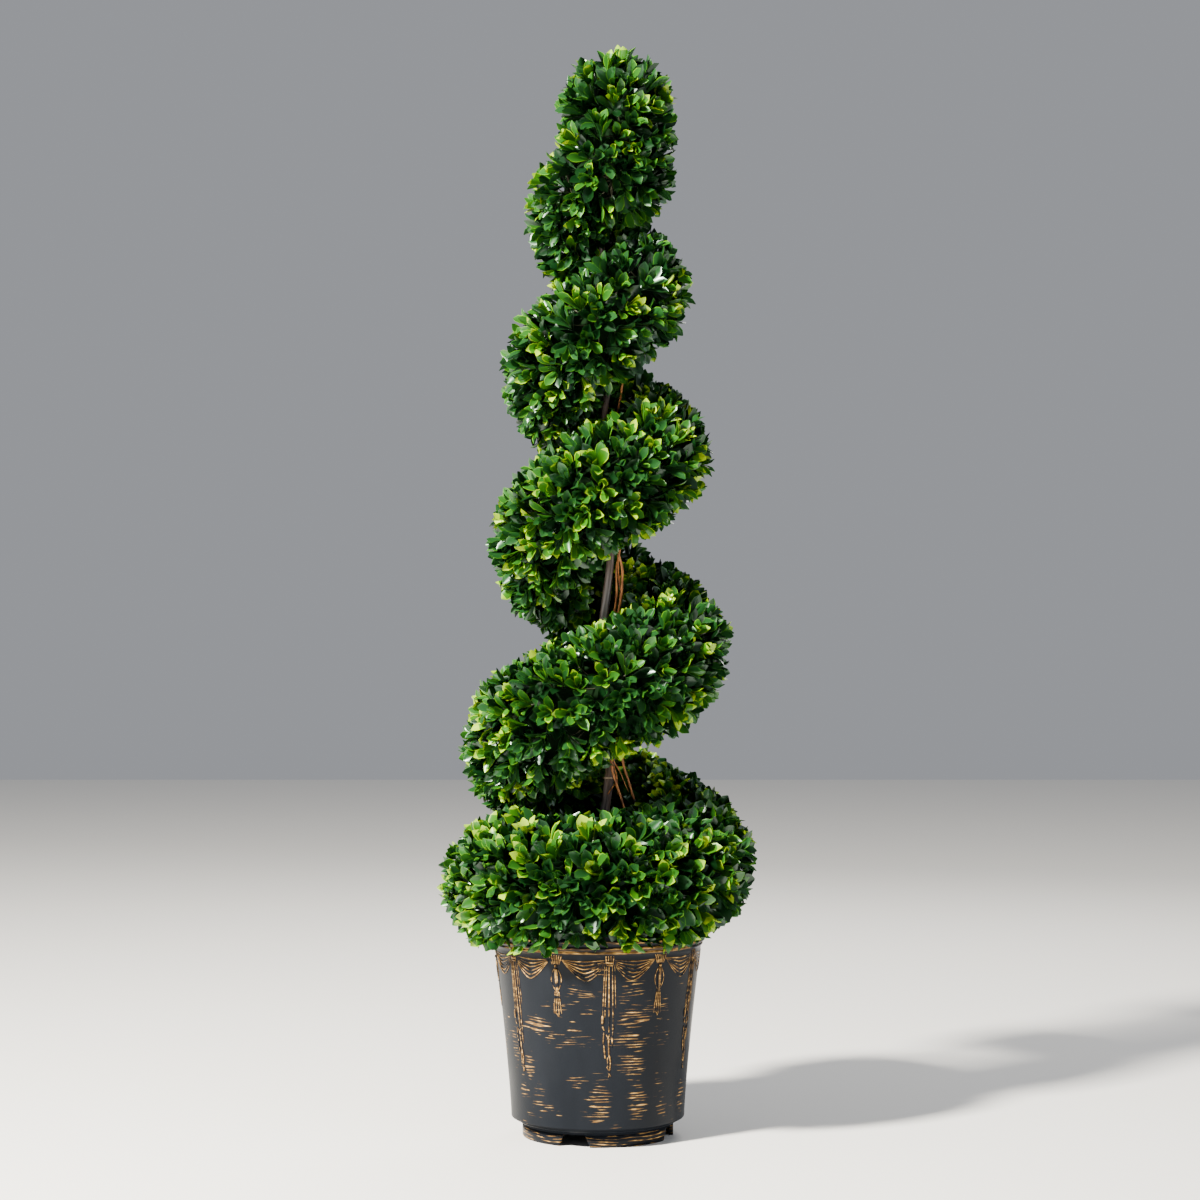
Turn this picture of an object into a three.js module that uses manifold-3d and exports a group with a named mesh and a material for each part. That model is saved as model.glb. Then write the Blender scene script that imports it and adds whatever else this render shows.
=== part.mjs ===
// A spiral topiary in its pot. A slim wavy trunk is set in a filled pot, and one clipped band of leaves winds
// up round it for nearly five turns and ends in a dome. Sizes are in millimetres. The pot's axis is Z, the
// ground is z = 0 and the front of the plant is towards -Y. The band is measured in half turns: at an even
// number of half turns it is on the right (+X), at an odd number on the left, and it climbs anticlockwise.

import * as THREE from "three";
import { mergeVertices } from "three/addons/utils/BufferGeometryUtils.js";
import Module from "manifold-3d";

const wasm = await Module();
wasm.setup();

// Clearances
const GAP = 0.3;
const SEAM = 0.6;
const SMOOTHING = 0.1;

// Pot: a foot ring with four vents, a flared body, two beads and an upright rim
const POT_HEIGHT = 291;
const POT_SIDES = 40;
const FOOT_RADIUS = 104.5;
const FOOT_WALL = 6.5;
const FOOT_HEIGHT = 19;
const FLOOR_UNDERSIDE = 15;
const FLOOR_TOP = 20;
const POT_WALL = 4;
const BODY_FOOT_Z = 27;
const BODY_TOP_Z = 258;
const BODY_FOOT_RADIUS = 119.5;
const BODY_TOP_RADIUS = 142;
const BODY_FLARE = 1.25;
const RIM_RADIUS = 152;
const FOOT_DRAFT = 0.5;
const FILL_TOP_Z = 262;

// The beads and the rim in profile, as distances from the axis and heights: up the outside, down the inside
const RIM_PROFILE = [
  [145, 262],
  [144, 267],
  [148.5, 271],
  [147.5, 275],
  [RIM_RADIUS, 278],
  [RIM_RADIUS + 1, 287],
  [RIM_RADIUS - 1, POT_HEIGHT],
  [RIM_RADIUS - 5, POT_HEIGHT],
  [RIM_RADIUS - 6, 276],
];

// Four vents with slanted sides in the foot ring
const VENT_COUNT = 4;
const VENT_ANGLE = 252;
const VENT_BOTTOM_WIDTH = 44;
const VENT_TOP_WIDTH = 30;
const VENT_HEIGHT = 17;

// Relief on the pot: long and short tassels by turns, with a swag of folded cloth hung between each two
const TASSEL_COUNT = 12;
const FIRST_TASSEL_ANGLE = 276.5;
const TASSEL_TOP_Z = 263;
const LONG_TASSEL = 165;
const SHORT_TASSEL = 84;
const RELIEF = 2.4;
const RELIEF_ROOT = 2;
const SWAG_TOP_Z = 256;
const SWAG_SAG = 9;
const SWAG_DROP = 34;
const SWAG_EDGE = 7;
const SWAG_COLUMNS = 4;
const SWAG_END_GAP = 3.4;

// Trunk: set in the middle of the fill, it swings to the right and then waves as it climbs
const TRUNK_FOOT_Z = FILL_TOP_Z + GAP;
const TRUNK_TIP_Z = 1296;
const TRUNK_FOOT_RADIUS = 7.8;
const TRUNK_TIP_RADIUS = 4.2;
const TRUNK_FLARE = 1.8;
const TRUNK_SHIFT = 11.5;
const TRUNK_WAVE = 6;
const TRUNK_WAVE_LENGTH = 280;
const TRUNK_SHIFT_Z = 450;
const TRUNK_SIDES = 9;
const TRUNK_STEPS = 28;

// The band's centre height, outer reach from the axis and half thickness at each half turn from the first
const BAND_HEIGHTS = [350, 374, 541, 671, 820, 941, 1052, 1165, 1274, 1371];
const BAND_REACHES = [219, 218, 192, 187, 153, 161, 136, 132, 103, 117];
const BAND_THICKNESSES = [100, 100, 96, 91, 87, 86, 84, 79, 80, 80];
const BAND_ASIDE = 7;
const BAND_START = 0.7;
const BAND_END = 9.7;
const BAND_MASSES = 14;
const BAND_ROUND_START = 0.22;
const STEEPEST_SECTION = 1.22;
const BAND_OVERHANG = 0.15;

// The dome that closes the band at the top
const DOME_CENTRE = new THREE.Vector3(26, 5, 1378);
const DOME_RADIUS = 88;
const DOME_HALF_HEIGHT = 128;
const DOME_SPRAYS = 13;
const DOME_ROOM = 2;
const TIP_ROOM_FOOT_Z = TRUNK_TIP_Z - 60;
const TIP_ROOM_BEND_Z = TRUNK_TIP_Z - 20;
const TIP_ROOM_TOP_Z = TRUNK_TIP_Z + 1;
const TIP_ROOM_SIDES = 8;
const TIP_ROOM_STEPS = 3;

// Leaves, larger than life so that fewer of them clothe the plant, in sprays of a few on a short twig
const SEED = 20;
const LEAF_DEPTH = 20;
const SPRAY_SPACING = 99;
const LEAVES_PER_SPRAY = 3;
const LEAF_WIDTH = 29;
const LEAF_THICKNESS = 2.6;
const LONGEST_LEAF = 62;
const SHORTEST_LEAF = 34;
const LEAF_WIDEST = 0.6;
const LEAF_ROOT = 13;
const STEEPEST_LEAF = 0.5;
const FLATTEST_LEAF = 1.05;
const LEAF_ROLL = 1.1;
const LEAF_SPREAD = 3;
const LEAF_WIDTH_SHARES = [0.88, 1.1];
const LENGTH_STEP = 2;
const TWIG_RADIUS = 2.4;
const TWIG_LENGTH = 15;
const TWIG_ROOT = 10.5;
const TWIG_TAPER = 0.4;
const STEM_RADIUS = 2.2;
const STEM_RUN = 8;
const STEM_SIDES = 5;
const STEM_STEPS = 3;
const HIGHEST_STEM_Z = TRUNK_TIP_Z - 12;
const NEAREST_HEART = 32;
const NEAREST_SPRAY = 18;
const SPRAY_SEAT = 0.98;
const END_MARGIN = 0.04;
const LIMB_CLEARANCE = 2;
const STREW_TRIES = 24;

const LEAF_GREENS = [0x1f5a22, 0x24652a, 0x2d6f27];

/** A seeded stream of even random numbers from 0 to 1. */
function randomStream(seed) {
  let state = seed >>> 0;
  return () => {
    state = (state + 0x6d2b79f5) >>> 0;
    let mixed = state;
    mixed = Math.imul(mixed ^ (mixed >>> 15), mixed | 1);
    mixed ^= mixed + Math.imul(mixed ^ (mixed >>> 7), mixed | 61);
    return ((mixed ^ (mixed >>> 14)) >>> 0) / 4294967296;
  };
}

/** The value between a list's entries at a place counted from 1, on a smooth curve through them. */
function along(list, place) {
  const last = list.length - 1;
  const at = (index) => {
    if (index < 0) return list[0] + (list[1] - list[0]) * index;
    if (index > last) return list[last] + (list[last] - list[last - 1]) * (index - last);
    return list[index];
  };
  const before = Math.floor(place - 1);
  const part = place - 1 - before;
  const [a, b, c, d] = [at(before - 1), at(before), at(before + 1), at(before + 2)];
  const slopeIn = (c - a) / 2;
  const slopeOut = (d - b) / 2;
  const square = part * part;
  const cube = square * part;
  return (
    (2 * cube - 3 * square + 1) * b +
    (cube - 2 * square + part) * slopeIn +
    (3 * square - 2 * cube) * c +
    (cube - square) * slopeOut
  );
}

/** A closed geometry from rings with the same number of points: skinned sides and a flat cap at each end. */
function solidFromRings(rings) {
  const count = rings[0].length;
  const positions = rings.flat().flatMap((point) => [point.x, point.y, point.z]);
  const index = [];
  for (let ring = 0; ring < rings.length - 1; ring++) {
    for (let side = 0; side < count; side++) {
      const next = (side + 1) % count;
      const [a, b] = [ring * count + side, ring * count + next];
      const [c, d] = [a + count, b + count];
      index.push(a, b, d, a, d, c);
    }
  }
  const top = (rings.length - 1) * count;
  for (let side = 1; side < count - 1; side++) {
    index.push(0, side + 1, side, top, top + side, top + side + 1);
  }
  return outwardGeometry(positions, index);
}

/** A geometry whose faces point out, whichever way round they were listed. */
function outwardGeometry(positions, index) {
  let volume = 0;
  const point = (i) => new THREE.Vector3().fromArray(positions, i * 3);
  for (let face = 0; face < index.length; face += 3) {
    const [a, b, c] = [point(index[face]), point(index[face + 1]), point(index[face + 2])];
    volume += a.dot(b.cross(c));
  }
  if (volume < 0) index.reverse();
  const geometry = new THREE.BufferGeometry();
  geometry.setAttribute("position", new THREE.Float32BufferAttribute(positions, 3));
  geometry.setIndex(index);
  return geometry;
}

function toSolid(geometry) {
  const bare = geometry.clone();
  bare.deleteAttribute("normal");
  bare.deleteAttribute("uv");
  const merged = mergeVertices(bare, 1e-4);
  const vertProperties = new Float32Array(merged.attributes.position.array);
  const triVerts = new Uint32Array(merged.index.array);
  return new wasm.Manifold(new wasm.Mesh({ numProp: 3, vertProperties, triVerts }));
}

/** One closed skin: slivers are smoothed away, then loose scraps and sealed hollows are left out. */
function toGeometry(solid) {
  const pieces = solid.simplify(SMOOTHING).decompose();
  const largest = pieces.reduce((best, piece) => (piece.volume() > best.volume() ? piece : best));
  const mesh = largest.getMesh();
  const geometry = new THREE.BufferGeometry();
  geometry.setAttribute("position", new THREE.BufferAttribute(mesh.vertProperties, 3));
  geometry.setIndex(new THREE.BufferAttribute(mesh.triVerts, 1));
  geometry.computeVertexNormals();
  return geometry;
}

/** A tapering limb along a smooth curve through the given points. */
function limb(points, radiusAt, sides, steps) {
  const curve = new THREE.CatmullRomCurve3(points);
  const frames = curve.computeFrenetFrames(steps, false);
  const rings = [];
  for (let step = 0; step <= steps; step++) {
    const centre = curve.getPointAt(step / steps);
    const radius = radiusAt(step / steps);
    const ring = [];
    for (let side = 0; side < sides; side++) {
      const angle = (side / sides) * Math.PI * 2;
      const offset = frames.normals[step].clone().multiplyScalar(Math.cos(angle) * radius);
      offset.addScaledVector(frames.binormals[step], Math.sin(angle) * radius);
      ring.push(centre.clone().add(offset));
    }
    rings.push(ring);
  }
  return solidFromRings(rings);
}

const polar = (radius, degrees, z) => {
  const angle = THREE.MathUtils.degToRad(degrees);
  return new THREE.Vector3(radius * Math.cos(angle), radius * Math.sin(angle), z);
};

const mix = THREE.MathUtils.lerp;

// Pot

function bodyRadius(z) {
  const rise = THREE.MathUtils.clamp((z - BODY_FOOT_Z) / (BODY_TOP_Z - BODY_FOOT_Z), 0, 1);
  return mix(BODY_FOOT_RADIUS, BODY_TOP_RADIUS, rise ** BODY_FLARE);
}

const BODY_STATIONS = [BODY_FOOT_Z, 90, 150, 205, BODY_TOP_Z];

/** The pot's shell before its vents and its relief: one closed profile turned about the axis. */
function potShell() {
  const outer = BODY_STATIONS.map((z) => [bodyRadius(z), z]);
  const inner = BODY_STATIONS.map((z) => [bodyRadius(z) - POT_WALL, z]).reverse();
  inner[inner.length - 1][1] = FLOOR_TOP;
  const profile = [
    [0, FLOOR_UNDERSIDE],
    [FOOT_RADIUS - FOOT_WALL, FLOOR_UNDERSIDE],
    [FOOT_RADIUS - FOOT_WALL, 0],
    [FOOT_RADIUS - FOOT_DRAFT, 0],
    [FOOT_RADIUS, FOOT_HEIGHT],
    ...outer,
    ...RIM_PROFILE,
    ...inner,
    [0, FLOOR_TOP],
  ];
  return new THREE.LatheGeometry(
    profile.map(([radius, z]) => new THREE.Vector2(radius, z)),
    POT_SIDES,
  ).rotateX(Math.PI / 2);
}

/** A tapering block that stands out of the pot's wall between two heights, wide or narrow at each. */
function wallBlock(degrees, stations) {
  const centre = THREE.MathUtils.degToRad(degrees);
  const outwards = new THREE.Vector3(Math.cos(centre), Math.sin(centre), 0);
  const sideways = new THREE.Vector3(-Math.sin(centre), Math.cos(centre), 0);
  const rings = stations.map(({ z, width, relief }) => {
    const wall = bodyRadius(z);
    const corner = (side, depth) =>
      outwards
        .clone()
        .multiplyScalar(wall + depth)
        .addScaledVector(sideways, side * width * 0.5)
        .setZ(z);
    return [corner(-1, -RELIEF_ROOT), corner(-0.7, relief), corner(0.7, relief), corner(1, -RELIEF_ROOT)];
  });
  return solidFromRings(rings);
}

function longTassel(degrees) {
  const top = TASSEL_TOP_Z;
  return wallBlock(degrees, [
    { z: top, width: 15, relief: RELIEF },
    { z: top - 15, width: 17, relief: RELIEF * 1.4 },
    { z: top - 22, width: 13, relief: RELIEF },
    { z: top - LONG_TASSEL * 0.6, width: 19, relief: RELIEF },
    { z: top - LONG_TASSEL, width: 7, relief: RELIEF * 0.6 },
  ]);
}

function shortTassel(degrees) {
  const top = TASSEL_TOP_Z;
  return wallBlock(degrees, [
    { z: top, width: 20, relief: RELIEF },
    { z: top - 18, width: 9, relief: RELIEF * 1.3 },
    { z: top - SHORT_TASSEL * 0.6, width: 9, relief: RELIEF },
    { z: top - SHORT_TASSEL, width: 17, relief: RELIEF * 0.6 },
  ]);
}

/** A swag between two tassels: its upper edge sags a little, its lower edge hangs to a point. */
function swag(degrees) {
  const halfSpan = 180 / TASSEL_COUNT - SWAG_END_GAP;
  const rings = [];
  for (let column = 0; column <= SWAG_COLUMNS; column++) {
    const across = (column / SWAG_COLUMNS) * 2 - 1;
    const hang = 1 - Math.abs(across) ** 1.3;
    const upper = SWAG_TOP_Z - SWAG_SAG * (1 - across * across);
    const lower = SWAG_TOP_Z - SWAG_EDGE - (SWAG_DROP - SWAG_EDGE) * hang;
    const angle = degrees + across * halfSpan;
    const fold = (upper + lower) / 2;
    rings.push([
      polar(bodyRadius(upper) - RELIEF_ROOT, angle, upper),
      polar(bodyRadius(upper) + RELIEF * 0.6, angle, upper - 1.5),
      polar(bodyRadius(fold) + RELIEF * 1.4, angle, fold),
      polar(bodyRadius(lower) - RELIEF_ROOT, angle, lower),
    ]);
  }
  return solidFromRings(rings);
}

/** A wedge wider at the ground than at its top, driven through the foot ring to cut a vent. */
function ventCutter(degrees) {
  const ring = (radius) => {
    const centre = polar(radius, degrees, 0);
    const sideways = polar(1, degrees + 90, 0);
    const corner = (width, z) => centre.clone().addScaledVector(sideways, width / 2).setZ(z);
    return [
      corner(-VENT_BOTTOM_WIDTH, -1),
      corner(VENT_BOTTOM_WIDTH, -1),
      corner(VENT_TOP_WIDTH, VENT_HEIGHT - 3),
      corner(-VENT_TOP_WIDTH, VENT_HEIGHT - 3),
    ];
  };
  return solidFromRings([ring(FOOT_RADIUS - FOOT_WALL - 6), ring(FOOT_RADIUS + 6)]);
}

function pot() {
  const relief = [];
  for (let count = 0; count < TASSEL_COUNT; count++) {
    const angle = FIRST_TASSEL_ANGLE + (360 / TASSEL_COUNT) * count;
    relief.push(count % 2 ? shortTassel(angle) : longTassel(angle));
    relief.push(swag(angle + 180 / TASSEL_COUNT));
  }
  const vents = [];
  for (let count = 0; count < VENT_COUNT; count++) {
    vents.push(ventCutter(VENT_ANGLE + (360 / VENT_COUNT) * count));
  }
  const dressed = wasm.Manifold.union([potShell(), ...relief].map(toSolid));
  return toGeometry(dressed.subtract(wasm.Manifold.union(vents.map(toSolid))));
}

/** What fills the pot: it stops a thumb's width under the rim. */
function potFill() {
  const side = BODY_STATIONS.map((z) => [bodyRadius(z) - POT_WALL - GAP, z]);
  side[0][1] = FLOOR_TOP + GAP;
  const profile = [[0, FLOOR_TOP + GAP], ...side, [side.at(-1)[0], FILL_TOP_Z], [0, FILL_TOP_Z]];
  return new THREE.LatheGeometry(
    profile.map(([radius, z]) => new THREE.Vector2(radius, z)),
    POT_SIDES,
  ).rotateX(Math.PI / 2);
}

// Trunk and shoots

function trunkCentre(z) {
  const swing = THREE.MathUtils.smoothstep(z, TRUNK_FOOT_Z, TRUNK_SHIFT_Z);
  const wave = (2 * Math.PI * (z - 810)) / TRUNK_WAVE_LENGTH;
  const x = swing * (TRUNK_SHIFT + TRUNK_WAVE * Math.cos(wave));
  return new THREE.Vector3(x, swing * TRUNK_WAVE * 0.5 * Math.sin(wave), z);
}

function trunkRadius(z) {
  const rise = (z - TRUNK_FOOT_Z) / (TRUNK_TIP_Z - TRUNK_FOOT_Z);
  const flare = TRUNK_FLARE * Math.exp(-(z - TRUNK_FOOT_Z) / 25);
  return mix(TRUNK_FOOT_RADIUS, TRUNK_TIP_RADIUS, rise) + flare;
}

function trunk() {
  const rings = [];
  for (let step = 0; step <= TRUNK_STEPS; step++) {
    const z = mix(TRUNK_FOOT_Z, TRUNK_TIP_Z, step / TRUNK_STEPS);
    const centre = trunkCentre(z);
    const ring = [];
    for (let side = 0; side < TRUNK_SIDES; side++) {
      ring.push(polar(trunkRadius(z), (360 / TRUNK_SIDES) * side, 0).add(centre));
    }
    rings.push(ring);
  }
  return solidFromRings(rings);
}

const TRUNK_LEAN = (TRUNK_WAVE * 2 * Math.PI) / TRUNK_WAVE_LENGTH;

/** Where a limb of a given radius meets the trunk: its flat end is just clear of the leaning bark. */
function onTrunk(z, degrees, limbRadius, further = 0) {
  const reach = trunkRadius(z) + GAP + limbRadius * TRUNK_LEAN + further;
  return polar(reach, degrees, 0).add(trunkCentre(z));
}

const SHOOT_RADIUS = 2.2;
const SHOOT_START = 6;
const SHOOT_SIDES = 5;
const SHOOT_STEPS = 9;

/** The line of a shoot: straight out of the trunk for a little way, then along its bow. */
function shootPoints({ foot, bow }) {
  const [z, degrees] = foot;
  return [onTrunk(z, degrees, SHOOT_RADIUS), onTrunk(z, degrees, SHOOT_RADIUS, SHOOT_START), ...bow];
}

const spot = (x, y, z) => new THREE.Vector3(x, y, z);

const TIE_Z = 492;
const TIE_THICKNESS = 2;
const TIE_HEIGHT = 2.8;
const TIE_SIDES = 5;
const TIE_STEPS = 16;

// Each shoot leaves the trunk at a height and a bearing, bows out beside it and ends where it enters a mass
const SHOOTS = [
  {
    name: "lower_shoot",
    radii: [SHOOT_RADIUS, 1.5],
    foot: [530, -90],
    bow: [spot(20, -14, 504), spot(25, -15, 486), spot(31, -19, 468), spot(38, -25, 446)],
  },
  {
    name: "lower_outer_shoot",
    radii: [2.1, 1.5],
    foot: [556, 0],
    bow: [spot(35, 3, 512), spot(42, 4, 489), spot(50, 5, 462)],
  },
  {
    name: "middle_shoot",
    radii: [SHOOT_RADIUS, 1.6],
    foot: [690, -30],
    bow: [spot(30, -9, 730), spot(34, -12, 776), spot(29, -15, 800), spot(20, -19, 836)],
  },
  {
    name: "middle_inner_shoot",
    radii: [2.0, 1.5],
    foot: [712, -10],
    bow: [spot(26, -3, 745), spot(26, -4, 780), spot(31, -3, 812), spot(36, -2, 846)],
  },
  {
    name: "upper_shoot",
    radii: [1.6, 1.2],
    foot: [976, -15],
    bow: [spot(29, -7, 1007), spot(34, -8, 1040), spot(32.5, -7, 1058), spot(32, -6, 1084)],
  },
];

function shootGeometry(shoot) {
  const radiusAt = (part) => mix(shoot.radii[0], shoot.radii[1], part);
  return limb(shootPoints(shoot), radiusAt, SHOOT_SIDES, SHOOT_STEPS);
}

/** The cord that ties the lower shoot's foot in: a round loop about the trunk, just clear of it. */
function trunkTie() {
  const radius = trunkRadius(TIE_Z) + GAP + TIE_THICKNESS / 2;
  const centre = trunkCentre(TIE_Z);
  const section = [];
  for (let side = 0; side <= TIE_SIDES; side++) {
    const angle = (side / TIE_SIDES) * Math.PI * 2;
    const out = (TIE_THICKNESS / 2) * Math.cos(angle);
    section.push(new THREE.Vector2(radius + out, (TIE_HEIGHT / 2) * Math.sin(angle)));
  }
  return new THREE.LatheGeometry(section, TIE_STEPS)
    .rotateX(Math.PI / 2)
    .translate(centre.x, centre.y, TIE_Z);
}

// The band of leaves

const flat = (vector) => vector.clone().setZ(0);

/**
 * The band's upright section at a place in half turns. It stands in the plane through the trunk and the
 * band's centre: the centre's distance and direction from the trunk, and the half width and half height.
 */
function bandSection(place) {
  const z = along(BAND_HEIGHTS, place);
  const thickness = along(BAND_THICKNESSES, place);
  const aside = BAND_ASIDE * Math.sin(place * Math.PI);
  const winding = along(BAND_REACHES, place) - thickness + aside;
  const origin = flat(trunkCentre(z));
  const fromTrunk = polar(winding, place * 180, 0).sub(origin);
  const outwards = fromTrunk.clone().normalize();
  const sideways = new THREE.Vector3(-outwards.y, outwards.x, 0);
  const climb = (along(BAND_HEIGHTS, place + 0.1) - along(BAND_HEIGHTS, place - 0.1)) / 0.2;
  const slant = Math.min(STEEPEST_SECTION, Math.hypot(1, climb / (Math.PI * winding)));
  const early = Math.max(0, (BAND_START + BAND_ROUND_START - place) / BAND_ROUND_START);
  const size = Math.sqrt(Math.max(0.04, 1 - early * early));
  const half = thickness * size;
  const core = half - LEAF_DEPTH * size;
  return {
    place,
    z,
    origin,
    outwards,
    sideways,
    radius: fromTrunk.length(),
    half,
    tall: half * slant,
    core,
    coreTall: core * slant,
  };
}

/** A point in a section, from its distance to the trunk's centre and its height. */
function inSection(section, radius, z) {
  return section.origin.clone().addScaledVector(section.outwards, radius).setZ(z);
}

// The cores: rings of a few sides in the upright sections, kept this far off the trunk
const CORE_SIDES = 9;
const CORE_STEPS = 4;
const TRUNK_ROOM = 4;

/**
 * The solid heart of a stretch of the band, cut clear of the trunk and resting just over the pot's rim.
 * It can be made thicker all round by a little extra, and each end is drawn in by the inset.
 */
function bandCore(from, to, { steps = CORE_STEPS, extra = 0, inset = SEAM / 2 } = {}) {
  const rings = [];
  for (let step = 0; step <= steps; step++) {
    const section = bandSection(mix(from, to, step / steps));
    const end = step === 0 ? 1 : step === steps ? -1 : 0;
    const ring = [];
    for (let side = 0; side < CORE_SIDES; side++) {
      const angle = ((side + 0.5) / CORE_SIDES) * Math.PI * 2;
      const upright = section.z + (section.coreTall + extra) * Math.sin(angle);
      const z = Math.max(POT_HEIGHT + GAP, upright);
      const trunkOffset = flat(trunkCentre(z)).sub(section.origin).dot(section.outwards);
      const nearest = trunkOffset + trunkRadius(Math.min(z, TRUNK_TIP_Z)) + TRUNK_ROOM - extra;
      const radius = Math.max(nearest, section.radius + (section.core + extra) * Math.cos(angle));
      const point = inSection(section, radius, z);
      ring.push(point.addScaledVector(section.sideways, end * inset));
    }
    rings.push(ring);
  }
  return solidFromRings(rings);
}

/** The section of the band that a point lies in, near a first guess of its place. */
function sectionThrough(point, guess) {
  let section = bandSection(guess);
  for (let round = 0; round < 3; round++) {
    const offset = flat(point).sub(section.origin);
    const turn = Math.atan2(offset.dot(section.sideways), offset.dot(section.outwards));
    section = bandSection(section.place + turn / Math.PI);
  }
  return section;
}

/** How far out in the band a point lies on each turn: 1 is on the envelope of the leaves' tips. */
function bandDepths(point) {
  const turn = Math.atan2(point.y, point.x) / Math.PI;
  const depths = [];
  for (let guess = turn; guess < BAND_END + 1; guess += 2) {
    if (guess < BAND_START - 1) continue;
    const section = sectionThrough(point, guess);
    const { place, origin, radius, half, tall, z } = section;
    if (place < BAND_START - BAND_OVERHANG || place > BAND_END) continue;
    const reach = flat(point).distanceTo(origin);
    depths.push({ place, depth: Math.hypot((reach - radius) / half, (point.z - z) / tall) });
  }
  return depths;
}

function domeDepth(point) {
  const across = Math.hypot(point.x - DOME_CENTRE.x, point.y - DOME_CENTRE.y) / DOME_RADIUS;
  return Math.hypot(across, (point.z - DOME_CENTRE.z) / DOME_HALF_HEIGHT);
}

/** True where a point is clear of the pot, which the lowest leaves hang over. */
function clearOfPot(point) {
  const radius = Math.hypot(point.x, point.y);
  return radius > RIM_RADIUS + 6 ? point.z > 256 : point.z > POT_HEIGHT + 3;
}

const shootLines = SHOOTS.map((shoot) => ({
  line: new THREE.CatmullRomCurve3(shootPoints(shoot)).getPoints(24),
  radius: shoot.radii[0],
}));

function clearOfLimbs(point) {
  const z = THREE.MathUtils.clamp(point.z, TRUNK_FOOT_Z, TRUNK_TIP_Z);
  if (trunkCentre(z).distanceTo(point) < trunkRadius(z) + LIMB_CLEARANCE) return false;
  return shootLines.every(({ line, radius }) =>
    line.every((place) => place.distanceTo(point) > radius + LIMB_CLEARANCE),
  );
}

// A point belongs to the mass whose middle it is nearer to by this much, and keeps this far out of the others
const OWN_MARGIN = 0.05;
const OUTSIDE_CORES = 0.84;
const FAR_AWAY = 9;

/** True where a point at one depth in its own mass keeps out of the others, and well out of their cores. */
function outOfOthers(ownDepth, otherDepths) {
  return Math.min(FAR_AWAY, ...otherDepths) > Math.max(ownDepth + OWN_MARGIN, OUTSIDE_CORES);
}

/** A test of whether a point keeps to the space of the stretch of band between two places. */
function bandSpace(from, to) {
  const [first, last] = [bandSection(from), bandSection(to)];
  const past = (section, point) => flat(point).sub(section.origin).dot(section.sideways);
  return (point) => {
    if (past(first, point) < SEAM / 2 || past(last, point) > -SEAM / 2) return false;
    const depths = bandDepths(point);
    const own = depths.find(({ place }) => place >= from && place <= to);
    if (!own || own.depth > 1) return false;
    const rivals = depths.filter((other) => other !== own).map(({ depth }) => depth);
    if (!outOfOthers(own.depth, [domeDepth(point), ...rivals])) return false;
    return clearOfPot(point) && clearOfLimbs(point);
  };
}

function domeSpace(point) {
  const own = domeDepth(point);
  if (own > 1) return false;
  const rivals = bandDepths(point).map(({ depth }) => depth);
  return outOfOthers(own, rivals) && clearOfLimbs(point);
}

/** A leaf of eight faces: pointed root and tip, widest past its middle, and thickest along its midrib. */
function leafGeometry({ root, direction, across, length, width }) {
  const face = direction.clone().cross(across);
  const place = (far, side, up) =>
    root
      .clone()
      .addScaledVector(direction, far * length)
      .addScaledVector(across, side)
      .addScaledVector(face, up);
  const corners = [
    place(0, 0, 0),
    place(1, 0, 0),
    place(LEAF_WIDEST, width / 2, 0),
    place(LEAF_WIDEST, -width / 2, 0),
    place(LEAF_WIDEST * 0.8, 0, LEAF_THICKNESS / 2),
    place(LEAF_WIDEST * 0.8, 0, -LEAF_THICKNESS / 2),
  ];
  const index = [0, 2, 4, 2, 1, 4, 1, 3, 4, 3, 0, 4, 2, 0, 5, 1, 2, 5, 3, 1, 5, 0, 3, 5];
  return outwardGeometry(
    corners.flatMap((corner) => corner.toArray()),
    index,
  );
}

/** Points along a leaf's midrib and edges, which all have to lie in its mass's space. */
function leafOutline({ root, direction, across, length, width }) {
  const outline = [];
  for (const far of [0.3, 0.4, 0.5, 0.6, 0.7, 0.8, 0.9, 1]) {
    const spread = far < LEAF_WIDEST ? far / LEAF_WIDEST : (1 - far) / (1 - LEAF_WIDEST);
    for (const side of far === 1 ? [0] : [-1, -0.5, 0, 0.5, 1]) {
      outline.push(
        root
          .clone()
          .addScaledVector(direction, far * length)
          .addScaledVector(across, (side * spread * width) / 2),
      );
    }
  }
  return outline;
}

// A direction that no spray points in, to start its turn from
const NO_LEAF_WAY = new THREE.Vector3(0.3, 0.5, 1);

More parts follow.
